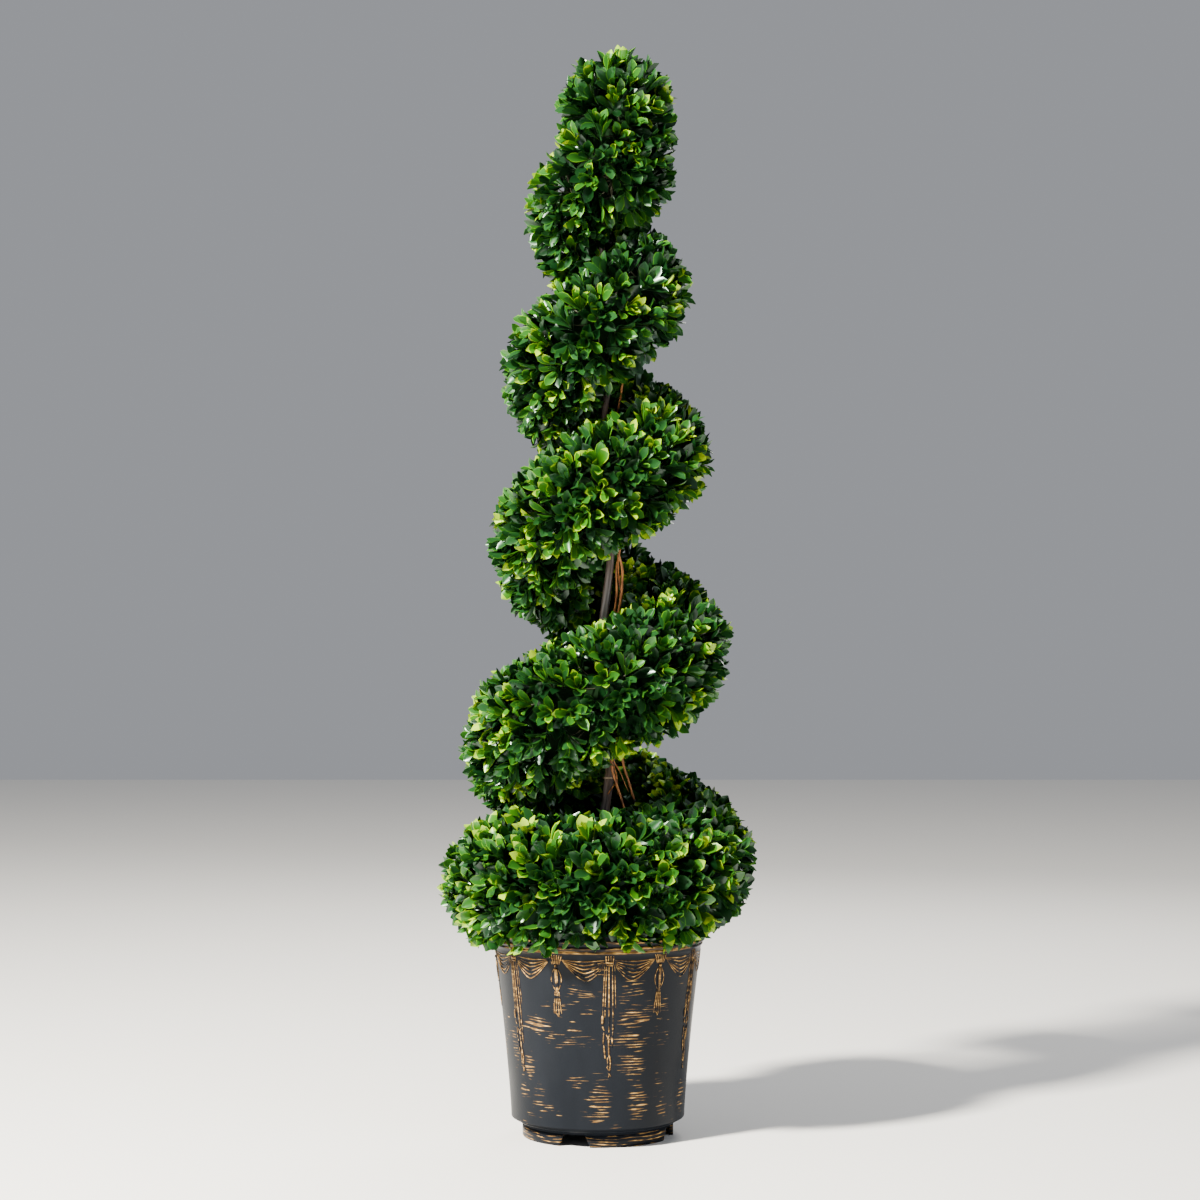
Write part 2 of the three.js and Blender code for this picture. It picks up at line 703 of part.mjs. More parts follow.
/** A spray: a short three-sided twig out of the core, with a few leaves that fan out round it. */
function spray({ foot, outwards }, inSpace, random) {
  const side = NO_LEAF_WAY.clone().cross(outwards).normalize();
  side.applyAxisAngle(outwards, random() * Math.PI * 2);
  const solids = [];
  const twigTip = foot.clone().addScaledVector(outwards, TWIG_LENGTH);
  if (inSpace(twigTip)) {
    const inside = foot.clone().addScaledVector(outwards, -TWIG_ROOT);
    const ring = (centre, radius) =>
      [0, 1, 2].map((corner) =>
        side
          .clone()
          .applyAxisAngle(outwards, (corner / 3) * Math.PI * 2)
          .multiplyScalar(radius)
          .add(centre),
      );
    solids.push(solidFromRings([ring(inside, TWIG_RADIUS), ring(twigTip, TWIG_RADIUS * TWIG_TAPER)]));
  }
  for (let count = 0; count < LEAVES_PER_SPRAY; count++) {
    const bearing = ((count + (random() - 0.5) * 0.5) / LEAVES_PER_SPRAY) * Math.PI * 2;
    const tilt = mix(STEEPEST_LEAF, FLATTEST_LEAF, random());
    const away = side.clone().applyAxisAngle(outwards, bearing);
    const direction = outwards.clone().multiplyScalar(Math.cos(tilt)).addScaledVector(away, Math.sin(tilt));
    const across = direction.clone().cross(outwards).normalize();
    across.applyAxisAngle(direction, (random() - 0.5) * LEAF_ROLL);
    const root = foot.clone().addScaledVector(outwards, -LEAF_ROOT).addScaledVector(away, LEAF_SPREAD);
    const width = LEAF_WIDTH * mix(...LEAF_WIDTH_SHARES, random());
    for (let length = LONGEST_LEAF; length >= SHORTEST_LEAF; length -= LENGTH_STEP) {
      const leaf = { root, direction, across, length, width };
      if (leafOutline(leaf).every(inSpace)) {
        solids.push(leafGeometry(leaf));
        break;
      }
    }
  }
  return solids;
}

/** Evenly strewn places after any first ones: each is the farthest from the others among a few tries. */
function strew(count, tryPlace, inSpace, random, first = []) {
  const rooted = ({ foot, outwards }) =>
    inSpace(foot) && inSpace(foot.clone().addScaledVector(outwards, -LEAF_ROOT));
  const places = [...first];
  while (places.length < count) {
    let best = null;
    let bestRoom = -1;
    for (let attempt = 0; attempt < STREW_TRIES; attempt++) {
      const candidate = tryPlace(random);
      if (!candidate || !rooted(candidate)) continue;
      const room = Math.min(1e6, ...places.map(({ foot }) => foot.distanceTo(candidate.foot)));
      if (room > bestRoom) [best, bestRoom] = [candidate, room];
    }
    if (!best) break;
    places.push(best);
  }
  return places;
}

/** A place on the core of a stretch of band, with the direction out of it. */
function bandPlace(from, to, random) {
  const section = bandSection(mix(from + END_MARGIN, to - END_MARGIN, random()));
  const angle = random() * Math.PI * 2;
  const radius = section.radius + section.core * Math.cos(angle);
  const widest = section.radius + section.core;
  if (radius < random() * widest || radius < NEAREST_SPRAY) return null;
  const seatRadius = mix(section.radius, radius, SPRAY_SEAT);
  const foot = inSection(section, seatRadius, section.z + section.coreTall * SPRAY_SEAT * Math.sin(angle));
  const outwards = section.outwards.clone().multiplyScalar(Math.cos(angle) / section.core);
  outwards.setZ(Math.sin(angle) / section.coreTall).normalize();
  const back = (BAND_START + BAND_ROUND_START - section.place) / BAND_ROUND_START;
  if (back > 0) outwards.addScaledVector(section.sideways, -back).normalize();
  return { foot, outwards };
}

/** A mass's stem: it sets out along its run, then bends into the heart of the core. */
function stem({ foot, run }, heart) {
  const bend = foot.clone().addScaledVector(run, STEM_RUN);
  return limb([foot, bend, heart], () => STEM_RADIUS, STEM_SIDES, STEM_STEPS);
}

/** The foot of a mass's stem: at its shoot's tip, or on the trunk, level with its heart where it can be. */
function stemFoot(heart, shootName) {
  if (shootName) {
    const { bow } = SHOOTS.find(({ name }) => name === shootName);
    const tip = bow.at(-1);
    const run = tip.clone().sub(bow.at(-2)).normalize();
    return { foot: tip.clone().addScaledVector(run, GAP * 1.5), run };
  }
  const z = Math.min(heart.z, HIGHEST_STEM_Z);
  const centre = trunkCentre(z);
  const degrees = THREE.MathUtils.radToDeg(Math.atan2(heart.y - centre.y, heart.x - centre.x));
  return { foot: onTrunk(z, degrees, STEM_RADIUS), run: polar(1, degrees, 0) };
}

const CARRIED_BY = {
  1: "lower_shoot",
  2: "lower_outer_shoot",
  7: "middle_shoot",
  8: "middle_inner_shoot",
  11: "upper_shoot",
};

function bandMass(count) {
  const random = randomStream(SEED + count);
  const span = (BAND_END - BAND_START) / BAND_MASSES;
  const from = BAND_START + span * count;
  const to = from + span;
  const middle = bandSection((from + to) / 2);
  const run = Math.PI * span * Math.hypot(middle.radius, middle.half * 0.4);
  const girth = 2 * Math.PI * (middle.core + LEAF_DEPTH * 0.7);
  const sprays = Math.round((run * girth) / SPRAY_SPACING ** 2);
  const inSpace = bandSpace(count === 0 ? from - BAND_OVERHANG : from, to);
  const places = strew(sprays, (stream) => bandPlace(from, to, stream), inSpace, random);
  const heart = inSection(middle, Math.max(middle.radius, NEAREST_HEART), middle.z);
  const solids = [
    bandCore(from, to),
    stem(stemFoot(heart, CARRIED_BY[count]), heart),
    ...places.flatMap((place) => spray(place, inSpace, random)),
  ];
  return toGeometry(wasm.Manifold.union(solids.map(toSolid)));
}

const DOME_CORE_RADIUS = DOME_RADIUS - LEAF_DEPTH;
const DOME_CORE_HALF_HEIGHT = (DOME_HALF_HEIGHT * DOME_CORE_RADIUS) / DOME_RADIUS;

/** A place on the dome's core. */
function domePlace(random) {
  const up = mix(-1, 1, random());
  const degrees = random() * 360;
  const level = Math.sqrt(1 - up * up);
  const [wide, tall] = [DOME_CORE_RADIUS, DOME_CORE_HALF_HEIGHT];
  const foot = polar(level * wide * SPRAY_SEAT, degrees, up * tall * SPRAY_SEAT).add(DOME_CENTRE);
  const outwards = polar(level / wide, degrees, up / tall).normalize();
  return { foot, outwards };
}

function domeMass() {
  const random = randomStream(SEED + BAND_MASSES);
  const ball = new THREE.SphereGeometry(1, 10, 7)
    .rotateX(Math.PI / 2)
    .scale(DOME_CORE_RADIUS, DOME_CORE_RADIUS, DOME_CORE_HALF_HEIGHT)
    .translate(...DOME_CENTRE);
  const lastTwo = (2 * (BAND_END - BAND_START)) / BAND_MASSES;
  const options = { steps: 2 * CORE_STEPS, extra: DOME_ROOM, inset: 0 };
  const bandRoom = toSolid(bandCore(BAND_END - lastTwo, BAND_END, options));
  const room = [TIP_ROOM_FOOT_Z, TIP_ROOM_BEND_Z, TIP_ROOM_TOP_Z].map(trunkCentre);
  const roomRadius = () => TRUNK_TIP_RADIUS + TRUNK_ROOM;
  const trunkRoom = toSolid(limb(room, roomRadius, TIP_ROOM_SIDES, TIP_ROOM_STEPS));
  const core = toSolid(ball).subtract(wasm.Manifold.union([bandRoom, trunkRoom]));
  const top = DOME_CENTRE.clone().add(polar(0, 0, DOME_CORE_HALF_HEIGHT));
  const crest = { foot: top, outwards: polar(0, 0, 1) };
  const places = strew(DOME_SPRAYS, domePlace, domeSpace, random, [crest]);
  const foot = trunkCentre(TRUNK_TIP_Z).setZ(TRUNK_TIP_Z + GAP);
  const solids = [
    stem({ foot, run: polar(0, 0, 1) }, foot.clone().setZ(DOME_CENTRE.z)),
    ...places.flatMap((place) => spray(place, domeSpace, random)),
  ];
  return toGeometry(wasm.Manifold.union([core, ...solids.map(toSolid)]));
}

// The whole plant

const plastic = new THREE.MeshStandardMaterial({ color: 0x2b2d31, roughness: 0.45, metalness: 0.05 });
const cement = new THREE.MeshStandardMaterial({ color: 0x5b564e, roughness: 0.95, metalness: 0 });
const bark = new THREE.MeshStandardMaterial({ color: 0x4a3d35, roughness: 0.85, metalness: 0 });
const youngBark = new THREE.MeshStandardMaterial({ color: 0x9a5a2c, roughness: 0.6, metalness: 0 });
const cord = new THREE.MeshStandardMaterial({ color: 0xb59a78, roughness: 0.8, metalness: 0 });

const topiary = new THREE.Group();

function addPart(name, geometry, material) {
  const mesh = new THREE.Mesh(geometry, material);
  mesh.name = name;
  topiary.add(mesh);
}

addPart("pot", pot(), plastic);
addPart("pot_fill", potFill(), cement);
addPart("trunk", trunk(), bark);
addPart("trunk_tie", trunkTie(), cord);
for (const shoot of SHOOTS) {
  addPart(shoot.name, shootGeometry(shoot), youngBark);
}
const greens = LEAF_GREENS.map((color) => new THREE.MeshStandardMaterial({ color, roughness: 0.5 }));
for (let count = 0; count < BAND_MASSES; count++) {
  addPart(`foliage_${String(count + 1).padStart(2, "0")}`, bandMass(count), greens[count % greens.length]);
}
addPart("foliage_dome", domeMass(), greens[1]);

export default topiary;
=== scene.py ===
# %% [markdown]
# # An artificial spiral topiary in its pot
#
# The plant is a slim wavy trunk with one clipped band of leaves that winds up round it for four and a
# half turns and ends in a dome. It stands in a dark moulded pot with worn gilding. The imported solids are
# the frame: they say where everything is, in metres, with the ground at z = 0, +Z up and the front
# towards -Y. Nothing is drawn by hand here. Each surface is a formula on a grid of numbers, so it can be
# read, measured and changed in one place.

# %% Loading the frame
import math

import bpy
import numpy as np
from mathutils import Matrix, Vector


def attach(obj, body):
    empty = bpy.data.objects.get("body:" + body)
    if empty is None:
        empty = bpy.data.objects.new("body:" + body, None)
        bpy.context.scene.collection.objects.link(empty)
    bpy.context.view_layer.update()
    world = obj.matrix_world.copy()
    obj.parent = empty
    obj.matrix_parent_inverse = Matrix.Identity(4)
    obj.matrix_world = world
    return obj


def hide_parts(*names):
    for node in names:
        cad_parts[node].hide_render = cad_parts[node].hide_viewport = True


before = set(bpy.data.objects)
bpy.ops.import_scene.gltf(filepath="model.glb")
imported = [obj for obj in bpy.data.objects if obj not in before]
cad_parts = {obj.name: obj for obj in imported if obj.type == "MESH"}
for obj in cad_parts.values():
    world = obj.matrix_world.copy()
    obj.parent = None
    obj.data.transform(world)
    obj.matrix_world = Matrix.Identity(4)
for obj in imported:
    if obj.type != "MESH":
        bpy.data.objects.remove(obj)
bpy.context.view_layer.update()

MM = 0.001

# %% [markdown]
# ## The camera
#
# The photograph was taken from the height of the plant's middle, level, from well back with a long lens.
# The lens and the distance come from how the pot's rings and the band's turns open up above and below the
# eye: a camera too near would open them more. Putting the camera first lets every later piece be judged
# in its frame.

# %% Camera
EYE = Vector((0.003, -3.69, 0.690))
AIM = Vector((0.003, 0.0, 0.7385))
LENS_MM = 79.8


def aimed(name, data, place, aim):
    """An object that holds a camera or a lamp at a place and turns it towards its aim."""
    holder = bpy.data.objects.new(name, data)
    holder.location = place
    holder.rotation_euler = (aim - place).to_track_quat("-Z", "Y").to_euler()
    bpy.context.scene.collection.objects.link(holder)
    return holder


camera_data = bpy.data.cameras.new("camera")
camera_data.lens = LENS_MM
camera_data.sensor_width = 36.0
bpy.context.scene.camera = aimed("camera", camera_data, EYE, AIM)
print("camera", round((AIM - EYE).length, 2), "m away")

# %% [markdown]
# ## Meshes from arrays
#
# Blender makes a mesh by modelling tools, by modifiers or straight from numbers. Straight from numbers is
# the quickest for a plant, where one rule makes thousands of leaves: the points and the faces are worked
# out as whole arrays and handed over in one go. Most other pieces are rows of rings, so a few small
# functions for rings, turns and directions serve them all.

# %% A piece from its points and faces
FOLIAGE = [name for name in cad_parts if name.startswith("foliage")]
SHOOT_NODES = [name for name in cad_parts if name.endswith("shoot")]


def new_piece(name, points, faces, materials, slot, nodes, face_material=None, readings=None):
    """A mesh piece that rides on the plant. faces is one array, or a list of them, of corners per face.

    face_material numbers each face's material, and readings holds named values, one for each point.
    """
    groups = faces if isinstance(faces, list) else [faces]
    corners = np.concatenate([group.ravel() for group in groups]).astype(np.int32)
    sizes = np.concatenate([np.full(len(group), group.shape[1]) for group in groups])
    mesh = bpy.data.meshes.new(name)
    mesh.vertices.add(len(points))
    mesh.vertices.foreach_set("co", np.asarray(points, np.float32).ravel())
    mesh.loops.add(len(corners))
    mesh.loops.foreach_set("vertex_index", corners)
    mesh.polygons.add(len(sizes))
    mesh.polygons.foreach_set("loop_start", (np.cumsum(sizes) - sizes).astype(np.int32))
    mesh.polygons.foreach_set("use_smooth", np.ones(len(sizes), bool))
    for material in materials if isinstance(materials, list) else [materials]:
        mesh.materials.append(material)
    if face_material is not None:
        mesh.polygons.foreach_set("material_index", face_material.astype(np.int32))
    for reading, values in (readings or {}).items():
        layer = mesh.attributes.new(reading, "FLOAT", "POINT")
        layer.data.foreach_set("value", np.asarray(values, np.float32))
    mesh.update(calc_edges=True)
    mesh.validate()
    piece = bpy.data.objects.new(name, mesh)
    bpy.context.scene.collection.objects.link(piece)
    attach(piece, "root")
    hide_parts(*nodes)
    print(f"{name}: {int((sizes - 2).sum())} triangles")


def grid_faces(rows, columns, closed=False):
    """Four-cornered faces of a grid of points. A closed grid's last column joins its first."""
    number = np.arange(rows * columns).reshape(rows, columns)
    right = np.roll(number, -1, axis=1)
    if not closed:
        number, right = number[:, :-1], right[:, :-1]
    return np.stack([number[:-1], right[:-1], right[1:], number[1:]], axis=-1).reshape(-1, 4)


def repeat_faces(faces, copies, points_each):
    """The same faces for each of many copies, whose points follow each other."""
    return (faces[None] + (np.arange(copies) * points_each)[:, None, None]).reshape(-1, faces.shape[1])


def tube_faces(rows, columns, copies=1, flipped=False):
    """The sides and the two end caps of closed tubes, whose points follow each other ring by ring."""
    cap = np.arange(columns)
    groups = [grid_faces(rows, columns, closed=True), np.stack([cap[::-1], cap + (rows - 1) * columns])]
    return [repeat_faces(group[:, ::-1] if flipped else group, copies, rows * columns) for group in groups]


# %% Directions, turns and rings
def unit(vectors):
    """The same directions with a length of 1."""
    return vectors / np.linalg.norm(vectors, axis=-1, keepdims=True)


def full_turn(steps):
    """The angles of even steps once round."""
    return np.arange(steps) / steps * 2 * np.pi


def around_axis(radius, angle, z):
    """Points from their distance to the upright axis, their angle round it and their height."""
    return np.stack(np.broadcast_arrays(radius * np.cos(angle), radius * np.sin(angle), z), -1)


def part_way(first, last, part):
    """What lies at a part of the way from the first to the last."""
    return first * (1 - part) + last * part


def rings(lines, radii, first, second, sides):
    """A ring of points at each place of each line, in the plane of a first and a second direction there."""
    angle = full_turn(sides)[:, None]
    ring = first[:, :, None] * np.cos(angle) + second[:, :, None] * np.sin(angle)
    return lines[:, :, None] + radii[..., None, None] * ring


# %% [markdown]
# ## Shader sums
#
# A material's pattern is a sum over each point of the surface. Wiring it by hand hides the sum, so one
# small class wraps a socket and lets it be written as Python: `1 - mask` adds a Math node. Colours go
# through Mix nodes, because a Math node would turn them grey.

# %% A finish and its readings
class Reading:
    """A value in a material, written in sums as a Python number would be."""

    def __init__(self, finish, socket):
        self.finish = finish
        self.socket = socket

    def maths(self, operation, *values, clamp=False):
        inputs = dict(enumerate(values))
        return self.finish.add("ShaderNodeMath", inputs, operation=operation, use_clamp=clamp)

    def __add__(self, other):
        return self.maths("ADD", self, other)

    def __radd__(self, other):
        return self.maths("ADD", other, self)

    def __sub__(self, other):
        return self.maths("SUBTRACT", self, other)

    def __rsub__(self, other):
        return self.maths("SUBTRACT", other, self)

    def __mul__(self, other):
        return self.maths("MULTIPLY", self, other)

    def __rmul__(self, other):
        return self.maths("MULTIPLY", other, self)

    def between(self, low, high):
        """0 up to low, 1 from high, and an even rise from one to the other."""
        return self.maths("MULTIPLY", self - low, 1.0 / (high - low), clamp=True)


class Finish:
    """A material and the one method that adds a node of any type to it."""

    def __init__(self, name, colour, roughness, **steady):
        self.material = bpy.data.materials.new(name)
        self.material.use_nodes = True
        self.material.diffuse_color = (*colour, 1.0)
        self.shader = self.material.node_tree.nodes["Principled BSDF"]
        self.put("Base Color", (*colour, 1.0))
        self.put("Roughness", roughness)
        for socket, value in steady.items():
            self.put(socket.replace("_", " "), value)

    def put(self, socket, value):
        """Sets one of the shader's sockets, to a number or to a reading."""
        self.feed(self.shader.inputs[socket], value)

    def feed(self, socket, value):
        if isinstance(value, Reading):
            self.material.node_tree.links.new(value.socket, socket)
        else:
            socket.default_value = value

    def add(self, kind, inputs, output=0, **settings):
        node = self.material.node_tree.nodes.new(kind)
        for setting, value in settings.items():
            setattr(node, setting, value)
        for socket, value in inputs.items():
            self.feed(node.inputs[socket], value)
        return Reading(self, node.outputs[output])

    def place(self, stretch=(1.0, 1.0, 1.0)):
        """Where a point of the surface is, in metres, stretched along each axis."""
        spot = self.add("ShaderNodeTexCoord", {}, output="Object")
        return self.add("ShaderNodeVectorMath", {0: spot, 1: stretch}, operation="MULTIPLY")

    def noise(self, stretch, detail=3.0, roughness=0.5):
        """Smooth random values round a half, with so many bumps a metre along each axis."""
        inputs = {"Vector": self.place(stretch), "Scale": 1.0, "Detail": detail, "Roughness": roughness}
        return self.add("ShaderNodeTexNoise", inputs)

    def reading(self, name):
        """A value that the mesh holds at each of its points."""
        return self.add("ShaderNodeAttribute", {}, output="Fac", attribute_name=name)

    def blend(self, amount, first, second):
        """A colour that goes from the first to the second as the amount goes from 0 to 1."""
        inputs = {0: amount, 6: first, 7: second}
        return self.add("ShaderNodeMix", inputs, output=2, data_type="RGBA")

    def bump(self, height, distance, strength=1.0):
        inputs = {"Height": height, "Distance": distance, "Strength": strength}
        self.put("Normal", self.add("ShaderNodeBump", inputs))


# %% [markdown]
# ## Smooth random relief
#
# Bark, the fill of the pot and the worn gilding all need smooth random values. Random numbers on a coarse
# grid, blended between its corners, give them, and wrapping the grid round hides the seam of a tube.

# %% Smooth random values on a surface
SEED = 20
random = np.random.default_rng(SEED)


def smooth_random(across, along_it, cells, seed):
    """Values from -1 to 1 at places given in cells of a grid, which repeats after so many cells each way."""
    table = np.random.default_rng(seed).uniform(-1.0, 1.0, cells)
    across, along_it = np.broadcast_arrays(across, along_it)
    column, row = np.floor(across).astype(int), np.floor(along_it).astype(int)
    part_u, part_v = across - column, along_it - row
    ease_u, ease_v = part_u**2 * (3 - 2 * part_u), part_v**2 * (3 - 2 * part_v)

    def corner(step_u, step_v):
        return table[(column + step_u) % cells[0], (row + step_v) % cells[1]]

    low = corner(0, 0) * (1 - ease_u) + corner(1, 0) * ease_u
    high = corner(0, 1) * (1 - ease_u) + corner(1, 1) * ease_u
    return low * (1 - ease_v) + high * ease_v


# %% [markdown]
# ## The pot's body
#
# The real pot is moulded plastic: a foot ring, a body that flares a little, two beads and a rim. It is
# round, so its outline is one profile turned about the axis. The profile runs from the axis under the
# floor, up the outside, over the lip and down the inside to the axis again, which closes the shell with
# its true wall.

# %% Sizes of the pot
BODY_FOOT_Z, BODY_TOP_Z = 27 * MM, 261 * MM
BODY_FOOT_RADIUS, BODY_TOP_RADIUS = 119.5 * MM, 142 * MM
BODY_FLARE, BODY_FLARE_END_Z = 1.25, 258 * MM
POT_WALL = 4 * MM
FOOT_SPLIT_Z = 17 * MM
FILL_TOP_Z = 262 * MM
POT_COLUMNS = 240


def body_radius(z):
    """The outside radius of the pot's body at a height: it flares slowly at first and then faster."""
    rise = np.clip((z - BODY_FOOT_Z) / (BODY_FLARE_END_Z - BODY_FOOT_Z), 0.0, 1.0)
    return BODY_FOOT_RADIUS + (BODY_TOP_RADIUS - BODY_FOOT_RADIUS) * rise**BODY_FLARE


def arc(radius, z, size, start, stop, steps=7):
    """Points on a round moulding: a part of a circle between two angles above the level, in degrees."""
    angle = np.radians(np.linspace(start, stop, steps))
    return np.column_stack([radius + size * np.cos(angle), z + size * np.sin(angle)])


# %% Profile of the pot, in pairs of distance from the axis and height
body_z = np.linspace(BODY_FOOT_Z + 1.5 * MM, BODY_TOP_Z, 90)
inner_z = np.linspace(276 * MM, 28 * MM, 14)
inner_radius = np.minimum(body_radius(inner_z) - POT_WALL, 146 * MM)
pot_profile = np.concatenate([
    np.array([[0.0, 17], [60, 17], [104.5, 17], [104.7, 18.7], [105.6, 19.6], [112, 23]]) * MM,
    arc(0.1178, 0.0280, 0.0017, -62, 0),
    np.column_stack([body_radius(body_z), body_z]),
    arc(0.1431, 0.2655, 0.0021, -70, 70),
    arc(0.1458, 0.2716, 0.0026, -75, 75),
    arc(0.1502, 0.2812, 0.0026, -80, 60),
    arc(0.1499, 0.2880, 0.0030, 10, 90),
    arc(0.1480, 0.2896, 0.0013, 90, 175),
    np.column_stack([inner_radius, inner_z]),
    np.array([[109, 21], [60, 20.5], [0, 20.5]]) * MM,
])
print("pot profile", len(pot_profile), "points, rim radius", round(float(pot_profile[:, 0].max()), 4))

# %% [markdown]
# The gilding on the body is dry-brushed: it clings in patches of level streaks. Where the patches lie is
# worked out here for each point of the mesh, from a few soft spots and a random part. The streaks
# themselves are much finer than the mesh, so the material draws them inside the patches.

# %% Patches of worn gilding
MIDDLE_RADIUS_MM = 130
PATCH_CELLS, PATCH_CELL_MM = (26, 16), 24
# Each spot: degrees from the front towards the right, height, half width, half height in mm, and strength
GILT_SPOTS = [
    (22, 176, 24, 13, 1.0), (21, 146, 27, 15, 0.9), (21, 113, 22, 15, 1.0), (-40, 165, 24, 13, 1.0),
    (-47, 105, 9, 18, 1.0), (1, 66, 18, 24, 1.0), (26, 64, 15, 27, 1.0), (-35, 52, 16, 7, 0.9),
    (-61, 130, 10, 30, 0.8), (68, 59, 13, 24, 0.9), (20, 212, 20, 20, 0.75), (-10, 212, 22, 12, 0.75),
    (45, 51, 12, 13, 0.8), (-14, 92, 12, 8, 0.75), (-40, 70, 16, 20, 0.65), (40, 190, 12, 10, 0.7),
]


def gilt_patches(points):
    """How much gilding clings round a point, 0 to 1: soft oval spots in front, random patches behind."""
    degrees = np.degrees(np.arctan2(points[:, 0], -points[:, 1]))
    height = points[:, 2] / MM
    sideways = np.radians(degrees) * MIDDLE_RADIUS_MM
    amount = np.zeros(len(points))
    for middle, z, half_width, half_height, strength in GILT_SPOTS:
        spot_sideways = math.radians(middle) * MIDDLE_RADIUS_MM
        away = np.hypot((sideways - spot_sideways) / half_width, (height - z) / half_height)
        amount = np.maximum(amount, strength * np.clip(1.6 - away, 0, 1))
    across = (degrees + 180) / 360 * PATCH_CELLS[0]
    patch = np.clip((smooth_random(across, height / PATCH_CELL_MM, PATCH_CELLS, SEED) - 0.2) * 2.5, 0, 1)
    behind = np.clip((np.abs(degrees) - 75) / 15, 0, 1)
    return np.maximum(amount, patch * (0.60 + 0.25 * behind))


pot_radius, pot_z = pot_profile[:, 0, None], pot_profile[:, 1, None]
pot_points = around_axis(pot_radius, full_turn(POT_COLUMNS), pot_z).reshape(-1, 3)
pot_faces = grid_faces(len(pot_profile), POT_COLUMNS, closed=True)
print("gilded share of the pot", round(float((gilt_patches(pot_points) > 0.5).mean()), 3))

# %% [markdown]
# The charcoal plastic is satin, with faint cloudy wear. Its gilding is a mask: thin level brush lines,
# which noise bends and breaks up, kept where the patches are and along the beads. The same mask blends
# the colour, the sheen and a slight metal look, so paint and plastic change together.

# %% Charcoal plastic with dry-brushed gilding
CHARCOAL = (0.0040, 0.0054, 0.0082, 1.0)
CHARCOAL_WORN = (0.0095, 0.0115, 0.0155, 1.0)
LINES_A_METRE = 235
GILT = (0.17, 0.090, 0.028, 1.0)
GILT_BRIGHT = (0.66, 0.385, 0.115, 1.0)


def gilded(name, mask_of, worn=0.55):
    """Charcoal plastic with gilding where the mask, worked out by mask_of from the finish, is 1."""
    finish = Finish(name, CHARCOAL[:3], 0.40, Specular_IOR_Level=0.08)
    clouds = finish.noise((18, 18, 9), detail=4).between(0.35, 0.72)
    mask = mask_of(finish)
    glint = finish.noise((90, 90, 300), detail=1).between(0.45, 0.7)
    plastic = finish.blend(clouds * worn, CHARCOAL, CHARCOAL_WORN)
    finish.put("Base Color", finish.blend(mask, plastic, finish.blend(glint, GILT, GILT_BRIGHT)))
    finish.put("Roughness", 0.33 + 0.12 * clouds - 0.02 * mask)
    finish.put("Metallic", 0.25 * mask)
    finish.bump(finish.noise((240, 240, 520), detail=2) + 0.6 * mask, 0.0003, 0.35)
    return finish.material


def streaks(finish):
    """Thin level brush lines: 1 on each and -1 half way to the next, bent and broken up by noise."""
    height = finish.add("ShaderNodeSeparateXYZ", {0: finish.place()}, output=2)
    count = height * LINES_A_METRE + 3.6 * finish.noise((11, 11, 60), detail=1)
    line = 1 - 4 * count.maths("PINGPONG", count, 0.5)
    return line + 4.4 * (finish.noise((46, 46, 420), detail=3) - 0.5)


def pot_mask(finish):
    """Gilding on the pot's body: the brush lines where a patch lifts them, and the crests of the beads."""
    patch = finish.reading("patch")
    dry_brush = (streaks(finish) + 1.8 * patch).between(1.95, 2.75)
    bead = finish.reading("bead") * finish.noise((26, 26, 90), detail=3).between(0.40, 0.55)
    return dry_brush.maths("MAXIMUM", dry_brush, bead)


BEAD_CREST_REACH = 1.3 * MM
bead_crest = np.zeros(len(pot_profile))
for bead_z, bead_radius in ((0.2664, 0.1446), (0.2722, 0.1477), (0.2805, 0.1523)):
    away = np.hypot(pot_profile[:, 0] - bead_radius, pot_profile[:, 1] - bead_z)
    bead_crest = np.maximum(bead_crest, np.clip(1.6 - away / BEAD_CREST_REACH, 0, 1))

pot_plastic = gilded("charcoal_gilded_plastic", pot_mask)
underside = Finish("dull_underside", CHARCOAL[:3], 0.7, Specular_IOR_Level=0.03)
under_rows = int(np.searchsorted(pot_profile[:20, 1], BODY_FOOT_Z))
new_piece(
    "pot_body", pot_points, pot_faces, [pot_plastic, underside.material], "pot_plastic", ["pot"],
    face_material=np.arange(len(pot_faces)) < under_rows * POT_COLUMNS,
    readings={"patch": gilt_patches(pot_points), "bead": np.repeat(bead_crest, POT_COLUMNS)},
)

# %% [markdown]
# ## The foot ring
#
# Four vents with slanted sides break the foot ring, and the first is a little left of the front. Cutting
# them with a boolean would leave ragged faces. Here the ring is made as four blocks instead: one section
# is carried round from vent to vent, and where it starts and stops depends on the height, which slants
# the ends.

# %% Foot ring between its vents
VENT_ANGLE = 252
VENT_HALF_BOTTOM, VENT_HALF_TOP = 22 * MM, 15 * MM
FOOT_COLUMNS = 44

foot_section = np.array([[98, 17.6], [98, 8], [98, 0.9], [98.9, 0], [101, 0], [103.2, 0], [104.1, 0.9],
                         [104.2, 8], [104.4, 17.6], [101, 17.6]]) * MM


def foot_block(first_vent):
    """The points of one block: the section's points, each spread evenly between the two vents' sides."""
    radius, z = foot_section[:, 0, None], foot_section[:, 1, None]
    half = VENT_HALF_BOTTOM + (VENT_HALF_TOP - VENT_HALF_BOTTOM) * z / FOOT_SPLIT_Z
    slack = np.arcsin(half / radius)
    part = np.linspace(0, 1, FOOT_COLUMNS)[None]
    angle = math.radians(first_vent) + slack + (math.pi / 2 - 2 * slack) * part
    return around_axis(radius, angle, z).transpose(1, 0, 2).reshape(-1, 3)


foot_points = np.concatenate([foot_block(VENT_ANGLE + 90 * count) for count in range(4)])
foot_finish = gilded("charcoal_gilded_foot", lambda finish: streaks(finish).between(0.60, 1.20))
foot_faces = tube_faces(FOOT_COLUMNS, len(foot_section), copies=4)
new_piece("pot_foot", foot_points, foot_faces, foot_finish, "pot_plastic", ["pot"])

